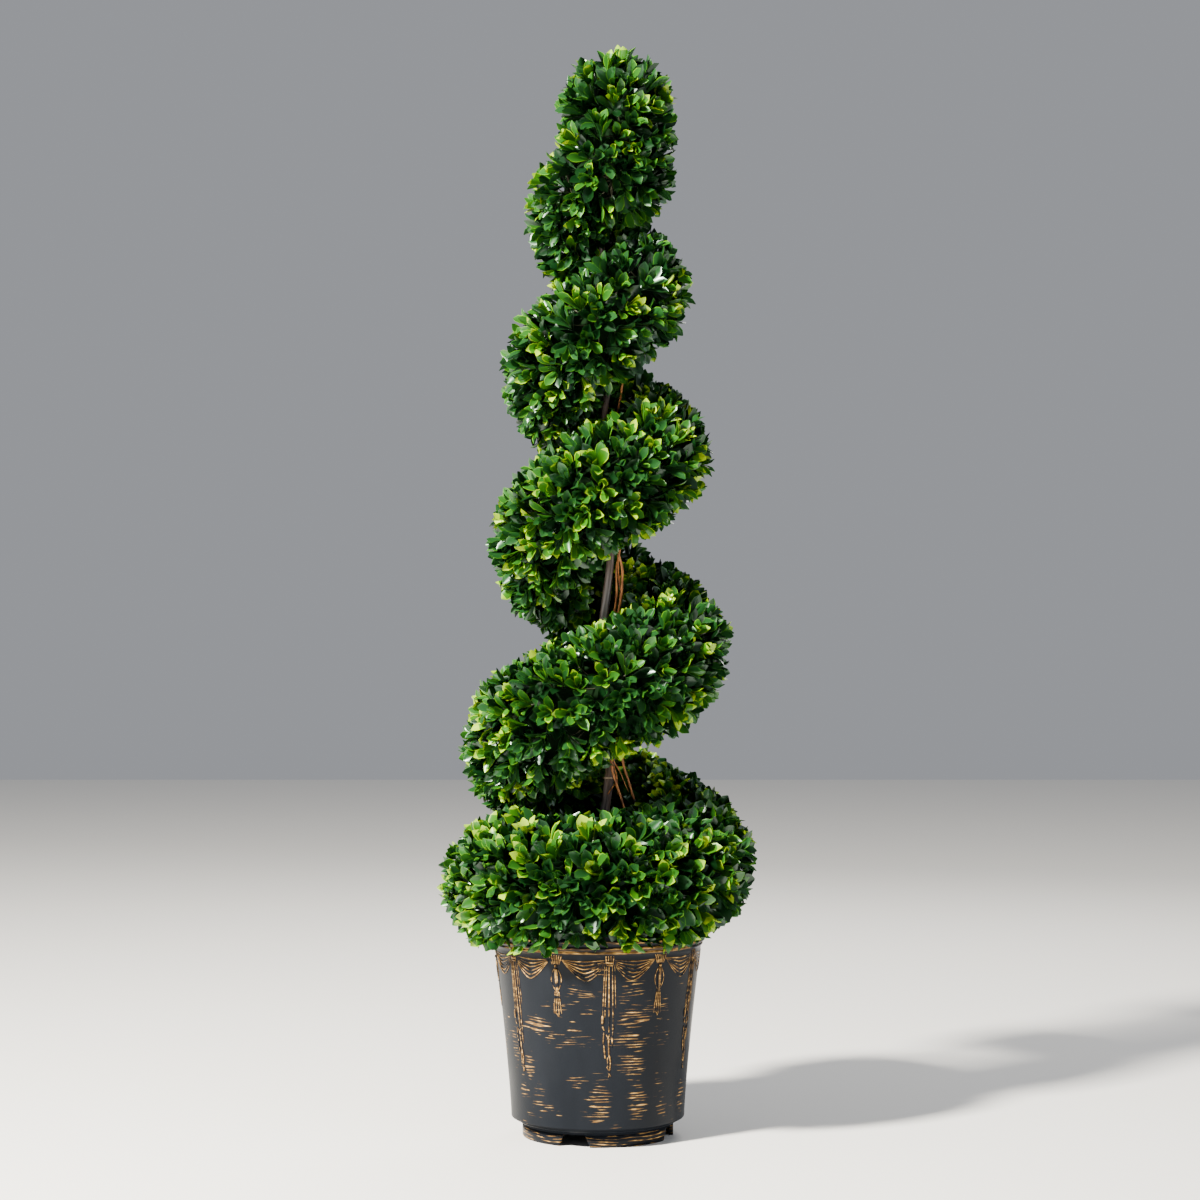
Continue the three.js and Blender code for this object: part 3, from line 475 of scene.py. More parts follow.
# %% [markdown]
# ## Swags and tassels
#
# The relief on the pot is moulded in: thin folds of cloth hung between cords and tassels. Displacing the
# body would need a very fine mesh all over. Each fold and cord is a rounded bead that follows a line on
# the wall instead, half sunk in it, which is crisp where it is needed and costs little. A value at each
# point says how near the crest it is, because the gilding was rubbed on the crests.

# %% Beads along lines on the wall
TASSEL_COUNT = 12
TASSEL_STEP = 360 / TASSEL_COUNT
FIRST_TASSEL = 276.5
RELIEF_TOP = 263
BEAD_SIDES = 7


def relief_mask(finish):
    """Gilding on the crests, rubbed off here and there."""
    rubbed = finish.noise((70, 70, 110), detail=3).between(0.38, 0.52)
    return finish.reading("crest").between(0.55, 0.9) * rubbed


relief_finish = gilded("gilded_relief", relief_mask)


def wall_beads(name, lines):
    """A piece of rounded beads along lines on the wall, given as degrees, heights and half thicknesses.

    At each place a ring of points is set in the plane of the way out and the way across the line, and the
    ring shrinks to nothing at the two ends. The crest is the cosine of the angle round the ring, 1 outside.
    """
    degrees, z, size = (np.concatenate(tables) for tables in zip(*lines))
    angle = np.radians(degrees)
    middle = around_axis(body_radius(z * MM), angle, z * MM)
    outwards = around_axis(1.0, angle, 0.0)
    across = np.cross(unit(np.gradient(middle, axis=1)), outwards)
    beads, places = degrees.shape
    taper = np.sin(np.linspace(0.02, 1, places) * np.pi * 0.98) ** 0.25
    points = rings(middle, size * MM * taper, outwards, across, BEAD_SIDES)
    crest = np.tile(np.cos(full_turn(BEAD_SIDES)), beads * places)
    new_piece(name, points.reshape(-1, 3), tube_faces(places, BEAD_SIDES, beads, flipped=True),
              relief_finish, "pot_plastic", ["pot"], readings={"crest": crest})


# %% Lines of the tassels
# Each line: sideways mm at its top and foot, top and foot in mm below the tassel's top, half thickness
LONG_TASSEL = [
    *((side, side * 0.8, -1, 12, 1.2) for side in (-5.4, -1.9, 1.7, 5.4)),
    (-5.0, 5.0, 9, 10, 2.0), (-4.4, 4.4, 12.5, 13.5, 1.6), (-6.6, -8.6, 13, 80, 0.75),
    (-4.2, -5.6, 13, 84, 0.90), (3.6, 5.4, 13, 92, 0.95), (6.8, 8.9, 13, 72, 0.60),
    (-0.9, 0.0, 12, 104, 1.35), (-8.8, -9.0, 81, 93, 2.2), (-8.8, -6.4, 95, 101, 1.5),
    (-6.8, -7.6, 104, 120, 1.1), (-6.6, -4.6, 121, 139, 1.4), (4.8, 5.2, 93, 101, 1.5),
    (5.0, 4.6, 103, 125, 0.9), (-3.8, 1.2, 107, 114, 1.1), (1.6, -2.4, 106, 114, 1.1),
    (3.2, 4.4, 110, 118, 0.9), (-0.4, 0.2, 112, 136, 1.4), (0.4, 2.6, 134, 144, 1.7),
    (2.8, 1.4, 142, 158, 1.0), (-1.6, -1.0, 138, 152, 1.0), (-2.4, 1.0, 151, 156, 1.0),
    (-0.6, 3.6, 158, 164, 1.1), (2.2, -0.2, 159, 165, 1.0),
]
SHORT_TASSEL = [
    *((side, side * 0.5, -2, 13, 1.1) for side in (-10, -6, -2, 2, 6, 10)),
    (-2.0, 2.0, 15.5, 16, 2.6), (-0.9, 0.2, 18, 49, 2.0), (1.2, 1.4, 18, 49, 1.5), (-1.8, 2.6, 49, 49.6, 1.7),
    *((side * 0.5, side, 50, 80, 0.9) for side in (-5.6, -2.0, 1.8, 5.4)),
    (-5.6, -3.4, 66, 80, 0.8), (-2.0, 1.0, 79, 84, 0.9), (1.8, 1.2, 78, 84, 0.9),
]
LOOP_TOP, LOOP_FOOT, LOOP_BOW = 18, 49, 5.6
LINE_PLACES = 9


def tassel_lines(lines, tassel_degrees, bow=0.0):
    """Degrees, heights and thicknesses along each line of a tassel. A bow pushes its middle sideways."""
    table = np.array(lines, float)
    part = np.linspace(0, 1, LINE_PLACES)[None]
    side = part_way(table[:, 0, None], table[:, 1, None], part) + bow * np.sin(part * np.pi)
    z = RELIEF_TOP - part_way(table[:, 2, None], table[:, 3, None], part)
    degrees = tassel_degrees + np.degrees(side * MM / body_radius(z * MM))
    return degrees, z, table[:, 4, None] + 0 * part


line_sets = []
for count in range(TASSEL_COUNT):
    where = FIRST_TASSEL + TASSEL_STEP * count
    if count % 2 == 0:
        line_sets.append(tassel_lines(LONG_TASSEL, where))
    else:
        line_sets.append(tassel_lines(SHORT_TASSEL, where))
        for side in (-1, 1):
            loop = [(side * 2.0, side * 1.6, LOOP_TOP, LOOP_FOOT, 0.8)]
            line_sets.append(tassel_lines(loop, where, LOOP_BOW * side))
wall_beads("pot_tassels", line_sets)

# %% Folds of the swags
FOLDS = 6
FOLD_PLACES = 17


def swag_folds(middle_degrees, towards_long):
    """Degrees and heights along the folds of one swag.

    Each fold hangs as 1 - |x|^p between the two tassels, with p from 1.35 for the top fold to 1.60 for
    the lowest. The lower ones hang deeper, start lower at the long tassel and gather at the short one.
    """
    across = np.linspace(-1, 1, FOLD_PLACES)[None]
    fold = np.arange(FOLDS)[:, None] / (FOLDS - 1)
    lean = towards_long * 0.16 * fold
    from_lowest = np.abs(np.clip((across - lean) / (1 - lean * np.sign(across)), -1, 1))
    hang = 1 - from_lowest ** (1.35 + 0.25 * fold)
    start = 6.5 + 9 * fold * (1 + towards_long * across) / 2
    z = RELIEF_TOP - start - (2 + 21 * fold) * hang
    degrees = middle_degrees + across * (12.0 - 0.5 * fold)
    return degrees + 0 * z, z, 0.70 + 0.45 * (1 - np.abs(across)) + 0 * z


swag_middles = FIRST_TASSEL + TASSEL_STEP * (np.arange(TASSEL_COUNT) + 0.5)
swag_sets = [swag_folds(middle, (-1) ** (count + 1)) for count, middle in enumerate(swag_middles)]
wall_beads("pot_swags", swag_sets)

# %% [markdown]
# ## What fills the pot
#
# Such plants are weighted with cement, rough on top. From the front the leaves hide it, but not from
# behind. Its top is a disc of rings whose heights are smooth random bumps of two sizes, level at the wall.

# %% Fill
FILL_COLUMNS, FILL_RINGS = 120, 44
FILL_COARSE, FILL_FINE = 30 * MM, 7 * MM
fill_rings = np.linspace(0, 1, FILL_RINGS)[:, None]
fill_angle = full_turn(FILL_COLUMNS)[None]
fill_reach = body_radius(FILL_TOP_Z) - POT_WALL - 0.4 * MM
fill_top = around_axis(fill_reach * fill_rings, fill_angle, FILL_TOP_Z - 2 * MM)
fill_x, fill_y = fill_top[..., 0], fill_top[..., 1]
coarse = smooth_random(fill_x / FILL_COARSE + 20, fill_y / FILL_COARSE + 20, (40, 40), 3)
fine = smooth_random(fill_x / FILL_FINE + 60, fill_y / FILL_FINE + 60, (120, 120), 4)
fill_top[..., 2] += (1.1 * coarse + 0.8 * fine) * MM * np.clip((1 - fill_rings) * 12, 0, 1)
# The side follows the inside of the wall down to the chamfer round the pot's floor
side_z = np.array([250, 200, 140, 90, 40, 29, 21.4])[:, None] * MM
side_radius = np.minimum(body_radius(side_z) - POT_WALL - 0.3 * MM, fill_reach)
side_radius[-1] = 108.5 * MM
fill_side = around_axis(side_radius, fill_angle, side_z)
fill_foot = fill_side[-1:] * np.array([0, 0, 1])
fill_points = np.concatenate([fill_top, fill_side, fill_foot]).reshape(-1, 3)
fill_faces = grid_faces(len(fill_points) // FILL_COLUMNS, FILL_COLUMNS, closed=True)[:, ::-1]

CEMENT_DARK, CEMENT_PALE = (0.045, 0.040, 0.032, 1), (0.17, 0.155, 0.13, 1)
cement = Finish("rough_cement", (0.10, 0.09, 0.075), 0.92)
grain = cement.noise((160, 160, 160), detail=5, roughness=0.65)
cement.put("Base Color", cement.blend(grain.between(0.3, 0.7), CEMENT_DARK, CEMENT_PALE))
cement.bump(grain, 0.0012, 0.8)
new_piece("pot_fill_surface", fill_points, fill_faces, cement.material, "fill", ["pot_fill"])

# %% [markdown]
# ## The trunk
#
# The trunk is a real-looking stem: grey-brown bark with a long upright grain, in easy waves. It is a tube
# whose rings follow the trunk's line. The grain is relief in the mesh itself, made of smooth random
# values drawn out along the trunk, so it shows in the outline as well as in the shading.

# %% Trunk's line and thickness, as in the solids
TRUNK_FOOT_Z, TRUNK_TIP_Z = 262.3 * MM, 1296 * MM
SWING_END_Z, WAVE_CREST_Z, WAVE_LENGTH = 450 * MM, 810 * MM, 280 * MM
SWING_MM, WAVE_MM, WAVE_BACK_MM = 11.5, 6, 3
FOOT_HALF_MM, TAPER_MM, FLARE_MM = 7.8, 3.6, 1.8
FLARE_FADE = 25 * MM


def trunk_centre(z):
    """The trunk's line: it swings to the right as it leaves the fill, then waves round that line.

    Right is the swing plus the cosine of the wave, back is its sine, and both ease in over the swing.
    """
    part = np.clip((z - TRUNK_FOOT_Z) / (SWING_END_Z - TRUNK_FOOT_Z), 0, 1)
    swing = part**2 * (3 - 2 * part)
    wave = 2 * np.pi * (z - WAVE_CREST_Z) / WAVE_LENGTH
    x = swing * (SWING_MM + WAVE_MM * np.cos(wave)) * MM
    y = swing * WAVE_BACK_MM * np.sin(wave) * MM
    return np.stack([x, y, z + 0 * x], -1)


def trunk_radius(z):
    """An even taper from foot to tip, with a little flare at the foot that dies away upwards."""
    rise = (z - TRUNK_FOOT_Z) / (TRUNK_TIP_Z - TRUNK_FOOT_Z)
    flare = FLARE_MM * np.exp(-(z - TRUNK_FOOT_Z) / FLARE_FADE)
    return (FOOT_HALF_MM - TAPER_MM * rise + flare) * MM


# %% Trunk with its bark
TRUNK_COLUMNS, TRUNK_ROWS = 72, 640
BARK_DEPTH = 0.42 * MM
trunk_z = np.linspace(TRUNK_FOOT_Z, TRUNK_TIP_Z, TRUNK_ROWS)[:, None]
trunk_turn = np.arange(TRUNK_COLUMNS)[None] / TRUNK_COLUMNS
twist = trunk_turn + 0.12 * np.sin(trunk_z / 0.19)
furrow = smooth_random(twist * 12 % 12, trunk_z / 0.045, (12, 40), 5)
thread = smooth_random(twist * 30 % 30, trunk_z / 0.016, (30, 90), 6)
grain_relief = 0.62 * furrow + 0.38 * thread
trunk_reach = trunk_radius(trunk_z) + (grain_relief - 1) * BARK_DEPTH
trunk_ring = around_axis(1.0, trunk_turn * 2 * np.pi, 0.0)
trunk_points = trunk_centre(trunk_z[:, 0])[:, None] + trunk_reach[..., None] * trunk_ring

bark = Finish("grey_brown_bark", (0.13, 0.10, 0.085), 0.62)
hollow = bark.reading("grain").between(-0.5, 0.45)
patches = bark.noise((60, 60, 8), detail=3).between(0.42, 0.62)
brown = bark.blend(hollow, (0.030, 0.019, 0.013, 1), (0.145, 0.092, 0.062, 1))
grey = bark.blend(hollow, (0.045, 0.036, 0.032, 1), (0.205, 0.188, 0.190, 1))
bark.put("Base Color", bark.blend(patches, brown, grey))
bark.put("Roughness", 0.72 - 0.2 * hollow)
bark.bump(bark.noise((900, 900, 60), detail=3), 0.0004, 0.6)
new_piece("trunk_bark", trunk_points.reshape(-1, 3), tube_faces(TRUNK_ROWS, TRUNK_COLUMNS), bark.material,
          "trunk_bark", ["trunk"], readings={"grain": grain_relief.ravel()})

# %% [markdown]
# ## Lines carried into tubes
#
# Shoots, twigs and the twine are all thin round things along a line. One function carries a ring of
# points along many lines at once. The ring is turned by a fixed direction that no line follows, which is
# steady enough for limbs that bend as little as these.

# %% Tubes along many lines
FIXED_WAY = np.array([0.31, 0.94, 0.12])


def tubes(lines, radii, sides):
    """Tubes along lines: lines is (count, places, 3), radii is (count, places). Returns points and faces.

    Each ring's first direction is the line's direction crossed with a fixed one, and its second is the
    line's direction crossed with the first.
    """
    count, places = lines.shape[:2]
    run = unit(np.gradient(lines, axis=1))
    first = unit(np.cross(run, FIXED_WAY))
    points = rings(lines, radii, first, np.cross(run, first), sides)
    return points.reshape(-1, 3), tube_faces(places, sides, count)


def through(knots, places):
    """Evenly parted places on a smooth curve through a few knots, which may be spots or numbers."""
    knots = np.asarray(knots, float)
    at = np.linspace(0, len(knots) - 1, places)
    before = np.clip(np.floor(at).astype(int), 0, len(knots) - 2)
    part = (at - before).reshape(-1, *[1] * (knots.ndim - 1))
    padded = np.concatenate([2 * knots[:1] - knots[1:2], knots, 2 * knots[-1:] - knots[-2:-1]])
    a, b, c, d = (padded[before + step] for step in range(4))
    bend, twist_back = 2 * a - 5 * b + 4 * c - d, 3 * b - a - 3 * c + d
    return 0.5 * (2 * b + (c - a) * part + bend * part**2 + twist_back * part**3)


# %% [markdown]
# ## The shoots
#
# Beside the trunk, in the openings between the turns, thin orange-brown shoots run down and up into the
# leaves. The thicker ones have their solids in the frame. Each is a knobbly tube along the same line, and
# a few fibres as thin as a straw run beside them.

# %% Shoots and fibres
THICKEST_SHOOT = 2.2
# Each shoot: height and degrees where it leaves the trunk, half thickness at each end, and further knots
SHOOTS = [
    (530, -90, 2.2, 1.5, [(20, -14, 504), (25, -15, 486), (31, -19, 468), (38, -25, 446)]),
    (556, 0, 2.1, 1.5, [(35, 3, 512), (42, 4, 489), (50, 5, 462)]),
    (690, -30, 2.2, 1.6, [(30, -9, 730), (34, -12, 776), (29, -15, 800), (20, -19, 836)]),
    (712, -10, 2.0, 1.5, [(26, -3, 745), (26, -4, 780), (31, -3, 812), (36, -2, 846)]),
    (976, -15, 1.6, 1.2, [(29, -7, 1007), (34, -8, 1040), (32.5, -7, 1058), (32, -6, 1084)]),
]
SHOOT_PLACES, FIBRE_PLACES = 90, 24


def leaves_trunk(z_mm, degrees):
    """The two first knots of a shoot in mm: just clear of the sloping bark, and 6 mm further straight out."""
    z = z_mm * MM
    steepest = WAVE_MM * 2 * math.pi / (WAVE_LENGTH / MM)
    reach = trunk_radius(z) / MM + 0.3 + THICKEST_SHOOT * steepest
    way = around_axis(1.0, math.radians(degrees), 0.0)
    start = trunk_centre(z) / MM
    return [start + way * reach, start + way * (reach + 6)]


shoot_lines = np.stack([
    through(leaves_trunk(z, degrees) + knots, SHOOT_PLACES) * MM for z, degrees, thick, thin, knots in SHOOTS
])
shoot_part = np.linspace(0, 1, SHOOT_PLACES)[None]
shoot_thick, shoot_thin = (np.array([shoot[end] for shoot in SHOOTS])[:, None] for end in (2, 3))
knobs = 1 + 0.10 * np.sin(shoot_part * 40 + np.arange(len(SHOOTS))[:, None]) ** 3
shoot_radii = part_way(shoot_thick, shoot_thin, shoot_part) * MM * knobs * 0.95

FIBRE_KNOTS = [
    [(17, -8, 524), (24, -11, 512), (31, -13, 500), (36, -14, 488), (42, -16, 474)],
    [(20, -9, 514), (25.5, -12.5, 498), (27, -13.5, 484), (27, -15, 470)],
    [(27, -6, 806), (28.5, -8, 786), (29, -8, 768), (32, -8, 748)],
    [(30, -7, 772), (31, -8, 756), (33, -8, 742)],
    [(14, -9, 470), (19, -12, 478), (24.5, -13, 486), (27, -12, 496)],
]
fibre_lines = np.stack([through(knots, FIBRE_PLACES) * MM for knots in FIBRE_KNOTS])
fibre_radii = np.tile((1.0 - 0.6 * np.linspace(0, 1, FIBRE_PLACES)) * MM, (len(FIBRE_KNOTS), 1))

rust = Finish("orange_brown_shoots", (0.36, 0.15, 0.045), 0.5)
along_grain = rust.noise((500, 500, 60), detail=3).between(0.35, 0.68)
rust.put("Base Color", rust.blend(along_grain, (0.15, 0.045, 0.012, 1), (0.62, 0.240, 0.058, 1)))
rust.put("Roughness", 0.62 - 0.15 * along_grain)
rust.bump(along_grain, 0.0003, 0.6)
new_piece("shoots", *tubes(shoot_lines, shoot_radii, 12), rust.material, "shoot_bark", SHOOT_NODES)
new_piece("bark_fibres", *tubes(fibre_lines, fibre_radii, 6), rust.material, "shoot_bark", SHOOT_NODES)

# %% [markdown]
# ## The twine
#
# A few turns of pale twine bind the trunk where the lowest shoot leaves it. It is one line wound round
# the trunk, close-set, with its radius swelling and shrinking as two twisted strands do.

# %% Twine
TWINE_TURNS, TWINE_PLACES = 3, 170
twine_part = np.linspace(0, 1, TWINE_PLACES)
twine_turn = twine_part * TWINE_TURNS * 2 * np.pi
twine_z = (490.9 + 2.2 * twine_part) * MM
twine_reach = trunk_radius(twine_z) + 0.75 * MM
twine_line = trunk_centre(twine_z) + around_axis(twine_reach, twine_turn, 0.0)
twine_radii = (0.46 + 0.07 * np.sin(twine_part * 300)) * MM
twine = Finish("pale_twine", (0.48, 0.36, 0.24), 0.85)
strands = twine.noise((900, 900, 2400), detail=2).between(0.35, 0.65)
twine.put("Base Color", twine.blend(strands, (0.28, 0.19, 0.115, 1), (0.60, 0.47, 0.32, 1)))
twine.bump(strands, 0.0002, 0.6)
new_piece("twine", *tubes(twine_line[None], twine_radii[None], 8), twine.material, "twine", ["trunk_tie"])

# %% [markdown]
# ## The space of the leaves
#
# The clipped band is easiest to hold as a rule: at any place along it, counted in half turns, there is an
# upright oval section that stands in the plane through the trunk. A point's depth is 1 on the oval that
# the leaves' tips reach and 0 in its middle. The same rule shaped the solids, so the leaves that keep to
# it fill the same room.

# %% The band's sections
BAND_HEIGHTS = np.array([350, 374, 541, 671, 820, 941, 1052, 1165, 1274, 1371]) * MM
BAND_REACHES = np.array([219, 218, 192, 187, 153, 161, 136, 132, 103, 117]) * MM
BAND_THICKNESSES = np.array([100, 100, 96, 91, 87, 86, 84, 79, 80, 80]) * MM
BAND_ASIDE = 7 * MM
BAND_START, BAND_END = 0.7, 9.7
START_ROUNDING = 0.22
OVERHANG_START, OVERHANG_END = 0.15, 0.04
STEEPEST_SECTION = 1.22
DOME_CENTRE = np.array([26, 5, 1378]) * MM
DOME_RADIUS, DOME_HALF_HEIGHT = 88 * MM, 128 * MM
DOME_POWER = 2.7
MOST_TURNS = 6
FAR_OUTSIDE = 9.0


def along(values, place):
    """The value between a list's entries at places counted from 1, on a smooth curve through them."""
    last = len(values) - 1

    def at(index):
        before = values[0] + (values[1] - values[0]) * index
        after = values[last] + (values[last] - values[last - 1]) * (index - last)
        inside = values[np.clip(index, 0, last)]
        return np.where(index < 0, before, np.where(index > last, after, inside))

    before = np.floor(place - 1).astype(int)
    part = place - 1 - before
    a, b, c, d = (at(before + step) for step in (-1, 0, 1, 2))
    slope_in, slope_out = (c - a) / 2, (d - b) / 2
    square, cube = part**2, part**3
    return (
        (2 * cube - 3 * square + 1) * b + (cube - 2 * square + part) * slope_in
        + (3 * square - 2 * cube) * c + (cube - square) * slope_out
    )


class Section:
    """The band's upright sections at an array of places, in half turns from the first on the left."""

    def __init__(self, place):
        self.place = place
        self.z = along(BAND_HEIGHTS, place)
        thickness = along(BAND_THICKNESSES, place)
        aside = BAND_ASIDE * np.sin(place * np.pi)
        winding = along(BAND_REACHES, place) - thickness + aside
        self.origin = trunk_centre(self.z)[..., :2]
        centre = around_axis(winding, place * np.pi, 0.0)[..., :2]
        self.radius = np.linalg.norm(centre - self.origin, axis=-1)
        self.outwards = (centre - self.origin) / self.radius[..., None]
        self.sideways = np.stack([-self.outwards[..., 1], self.outwards[..., 0]], -1)
        climb = (along(BAND_HEIGHTS, place + 0.1) - along(BAND_HEIGHTS, place - 0.1)) / 0.2
        slant = np.minimum(STEEPEST_SECTION, np.hypot(1, climb / (np.pi * winding)))
        early = np.maximum(0, (BAND_START + START_ROUNDING - place) / START_ROUNDING)
        self.half = thickness * np.sqrt(np.maximum(0.04, 1 - early**2))
        self.tall = self.half * slant

    def spot(self, radius, z):
        """A point in the section, from its distance to the trunk's centre and its height."""
        flat = self.origin + self.outwards * radius[..., None]
        return np.concatenate([flat, z[..., None]], -1)


# %% Depth in the band and in the dome
def band_depths(points):
    """The places and depths of points on each turn of the band that passes them, as two tables."""
    turn = np.arctan2(points[:, 1], points[:, 0]) / np.pi
    section = Section(turn[:, None] + 2 * np.arange(MOST_TURNS))
    for _ in range(3):
        offset = points[:, None, :2] - section.origin
        ahead = (offset * section.sideways).sum(-1)
        out = (offset * section.outwards).sum(-1)
        section = Section(section.place + np.arctan2(ahead, out) / np.pi)
    reach = np.linalg.norm(points[:, None, :2] - section.origin, axis=-1)
    depth = np.hypot((reach - section.radius) / section.half, (points[:, None, 2] - section.z) / section.tall)
    too_low, too_high = section.place < BAND_START - OVERHANG_START, section.place > BAND_END + OVERHANG_END
    return section.place, np.where(too_low | too_high, FAR_OUTSIDE, depth)


def dome_size(across, up):
    """The size of the dome through a point, 1 for the real one.

    It is the root of the sum of two powers: of the part of the radius across, and of the part of the half
    height up. The power is more than the 2 of a ball, because clipping leaves fuller shoulders.
    """
    return (across**DOME_POWER + np.abs(up) ** DOME_POWER) ** (1 / DOME_POWER)


def dome_depth(points):
    offset = points - DOME_CENTRE
    return dome_size(np.hypot(offset[:, 0], offset[:, 1]) / DOME_RADIUS, offset[:, 2] / DOME_HALF_HEIGHT)


def own_and_others(points, owner):
    """Each point's depth in the form that owns it, and its least depth in any other.

    owner is a place on the band in half turns, or -1 on the dome.
    """
    places, depths = band_depths(points)
    every = np.column_stack([depths, dome_depth(points)])
    nearest = np.argmin(np.abs(places - owner[:, None]), axis=1)
    column = np.where(owner < 0, every.shape[1] - 1, nearest)
    rows = np.arange(len(points))
    own = every[rows, column]
    every[rows, column] = FAR_OUTSIDE
    return own, every.min(axis=1)


limb_spots = shoot_lines[:, ::3].reshape(-1, 3)
UNCLIPPED, UNCLIPPED_REACH = 0.12, 70 * MM
RIM_RADIUS, BESIDE_RIM_Z, ABOVE_RIM_Z = 155 * MM, 254 * MM, 292.5 * MM


def has_room(points, owner, shared=FAR_OUTSIDE, stray=0.0):
    """True where a point is inside its own form and clear of the pot, the trunk and the shoots.

    It also has to be nearer the middle of its own form than of any other, or past the depth called shared
    in every other. stray is how far it may stand out of its form, and beside the trunk, where no shears
    reach, it may stand out further.
    """
    own, other = own_and_others(points, owner)
    z = np.clip(points[:, 2], TRUNK_FOOT_Z, TRUNK_TIP_Z)
    from_trunk = np.linalg.norm(points - trunk_centre(z), axis=1)
    off_trunk = from_trunk > trunk_radius(z) + 1.5 * MM
    limit = 1 + UNCLIPPED * np.clip(1 - from_trunk / UNCLIPPED_REACH, 0, 1)
    off_shoots = np.linalg.norm(points[:, None] - limb_spots[None], axis=-1).min(axis=1) > 3 * MM
    from_axis = np.linalg.norm(points[:, :2], axis=1)
    off_pot = points[:, 2] > np.where(from_axis > RIM_RADIUS, BESIDE_RIM_Z, ABOVE_RIM_Z)
    return (own < limit + stray) & ((other > own) | (other > shared)) & off_trunk & off_shoots & off_pot


# %% [markdown]
# ## Where the sprays grow
#
# The sprays sit in two layers inside the surface: a close-set outer one that is seen, and a wider-set
# inner one whose leaves, darkened with painted shade, fill the gaps. Strewing them at random would leave
# bald spots, so many trial places are thrown, evenly by area, and then they are picked one by one: always
# the trial place that is farthest from all those already picked, until no gap is wider than the spacing.

# %% Trial places on the band and the dome
TRIALS = 30000
DOME_TRIALS = 2600


def trial_places(depth):
    """Random places with room on the band and the dome, so deep under the tips, and their owners."""
    place = random.uniform(BAND_START - 0.1, BAND_END, TRIALS)
    angle = random.uniform(0, 2 * np.pi, TRIALS)
    section = Section(place)
    sunk = np.minimum(depth, section.half * 0.6)
    radius = section.radius + (section.half - sunk) * np.cos(angle)
    z = section.z + (section.tall - sunk) * np.sin(angle)
    widest = (section.radius + section.half).max()
    kept = radius > random.uniform(0, 1, TRIALS) * widest

    up = random.uniform(-1, 1, DOME_TRIALS)
    turn = random.uniform(0, 2 * np.pi, DOME_TRIALS)
    level = np.sqrt(1 - up**2)
    size = dome_size(level, up)
    level, up = (DOME_RADIUS - depth) * level / size, (DOME_HALF_HEIGHT - depth) * up / size
    ball = DOME_CENTRE + around_axis(level, turn, up)
    places = np.concatenate([section.spot(radius, z)[kept], ball])
    owners = np.concatenate([place[kept], np.full(DOME_TRIALS, -1.0)])
    roomy = has_room(places, owners)
    return places[roomy], owners[roomy]


# %% Picking the sprays
def farthest_first(places, spacing):
    """Numbers of the picked places: each is the one farthest from all picked before, down to the spacing."""
    picked = [int(np.argmax(places[:, 2]))]
    gap = np.linalg.norm(places - places[picked[0]], axis=1)
    while gap.max() > spacing:
        best = int(np.argmax(gap))
        picked.append(best)
        gap = np.minimum(gap, np.linalg.norm(places - places[best], axis=1))
    return np.array(picked)


# Each layer: depth under the leaves' tips, and the widest gap between two sprays
SPRAY_LAYERS = [(34 * MM, 21.0 * MM), (48 * MM, 29 * MM)]
OUT_SPREAD = 0.16
layer_feet, layer_owners = [], []
for depth, spacing in SPRAY_LAYERS:
    trials, owners = trial_places(depth)
    picked = farthest_first(trials, spacing)
    layer_feet.append(trials[picked])
    layer_owners.append(owners[picked])
    print("layer", depth, "trial places", len(trials), "sprays", len(picked))
spray_foot, spray_owner = np.concatenate(layer_feet), np.concatenate(layer_owners)
inner_spray = np.arange(len(spray_foot)) >= len(layer_feet[0])


def way_out(points, owner):
    """The direction in which depth grows fastest, from its change over a short step along each axis."""
    slope = np.zeros_like(points)
    for axis, shift in enumerate(np.eye(3) * MM):
        slope[:, axis] = own_and_others(points + shift, owner)[0] - own_and_others(points - shift, owner)[0]
    return unit(slope)


sprays = len(spray_foot)
spray_out = unit(way_out(spray_foot, spray_owner) + random.normal(0, OUT_SPREAD, (sprays, 3)))
print("sprays", sprays)

# %% [markdown]
# ## Leaves in their sprays
#
# On the real plant a spray is a tuft: leaves follow each other round a short twig by the golden angle,
# shorter and upright at its tip, longer and leaning out further down, and a little longer on the band's
# lowest turn. A table of so many sprays by so many leaves holds every leaf's root, direction and size.
# A leaf whose tip would leave its room is tried shorter, and left out if that fails too. How far its
# leaves may stray out of the form differs from spray to spray, which keeps the clipped surface lively.

# %% Every leaf's place
LEAVES_EACH = 11
GOLDEN = math.pi * (3 - math.sqrt(5))
LEAF_LENGTH, LEAF_GROWTH = 34.4, 8
LENGTH_LEAST, LENGTH_MOST = 0.84, 1.10
LOWEST_TURN_GROWTH = 0.20
FIRST_TILT, TILT_STEP, TILT_SPREAD = 7, 4.0, 7
BEARING_SPREAD, ROLL_SPREAD = 0.12, 0.34
FIRST_DROP, DROP_STEP = -2.0, 1.5
OFF_TWIG = 1.2 * MM
number = np.arange(LEAVES_EACH)[None]


def per_leaf(values):
    """A value of each spray, handed to each of its leaves."""
    return np.repeat(values, LEAVES_EACH)


spray_side = unit(np.cross(spray_out, FIXED_WAY))
spray_front = np.cross(spray_out, spray_side)

start_turn = random.uniform(0, 2 * np.pi, (sprays, 1))
bearing = start_turn + GOLDEN * number + random.normal(0, BEARING_SPREAD, (sprays, LEAVES_EACH))
tilt = np.radians(FIRST_TILT + TILT_STEP * number + random.normal(0, TILT_SPREAD, (sprays, LEAVES_EACH)))
leaf_length = LEAF_LENGTH + LEAF_GROWTH * np.sqrt(number / (LEAVES_EACH - 1))
leaf_length = leaf_length * random.uniform(LENGTH_LEAST, LENGTH_MOST, (sprays, LEAVES_EACH)) * MM
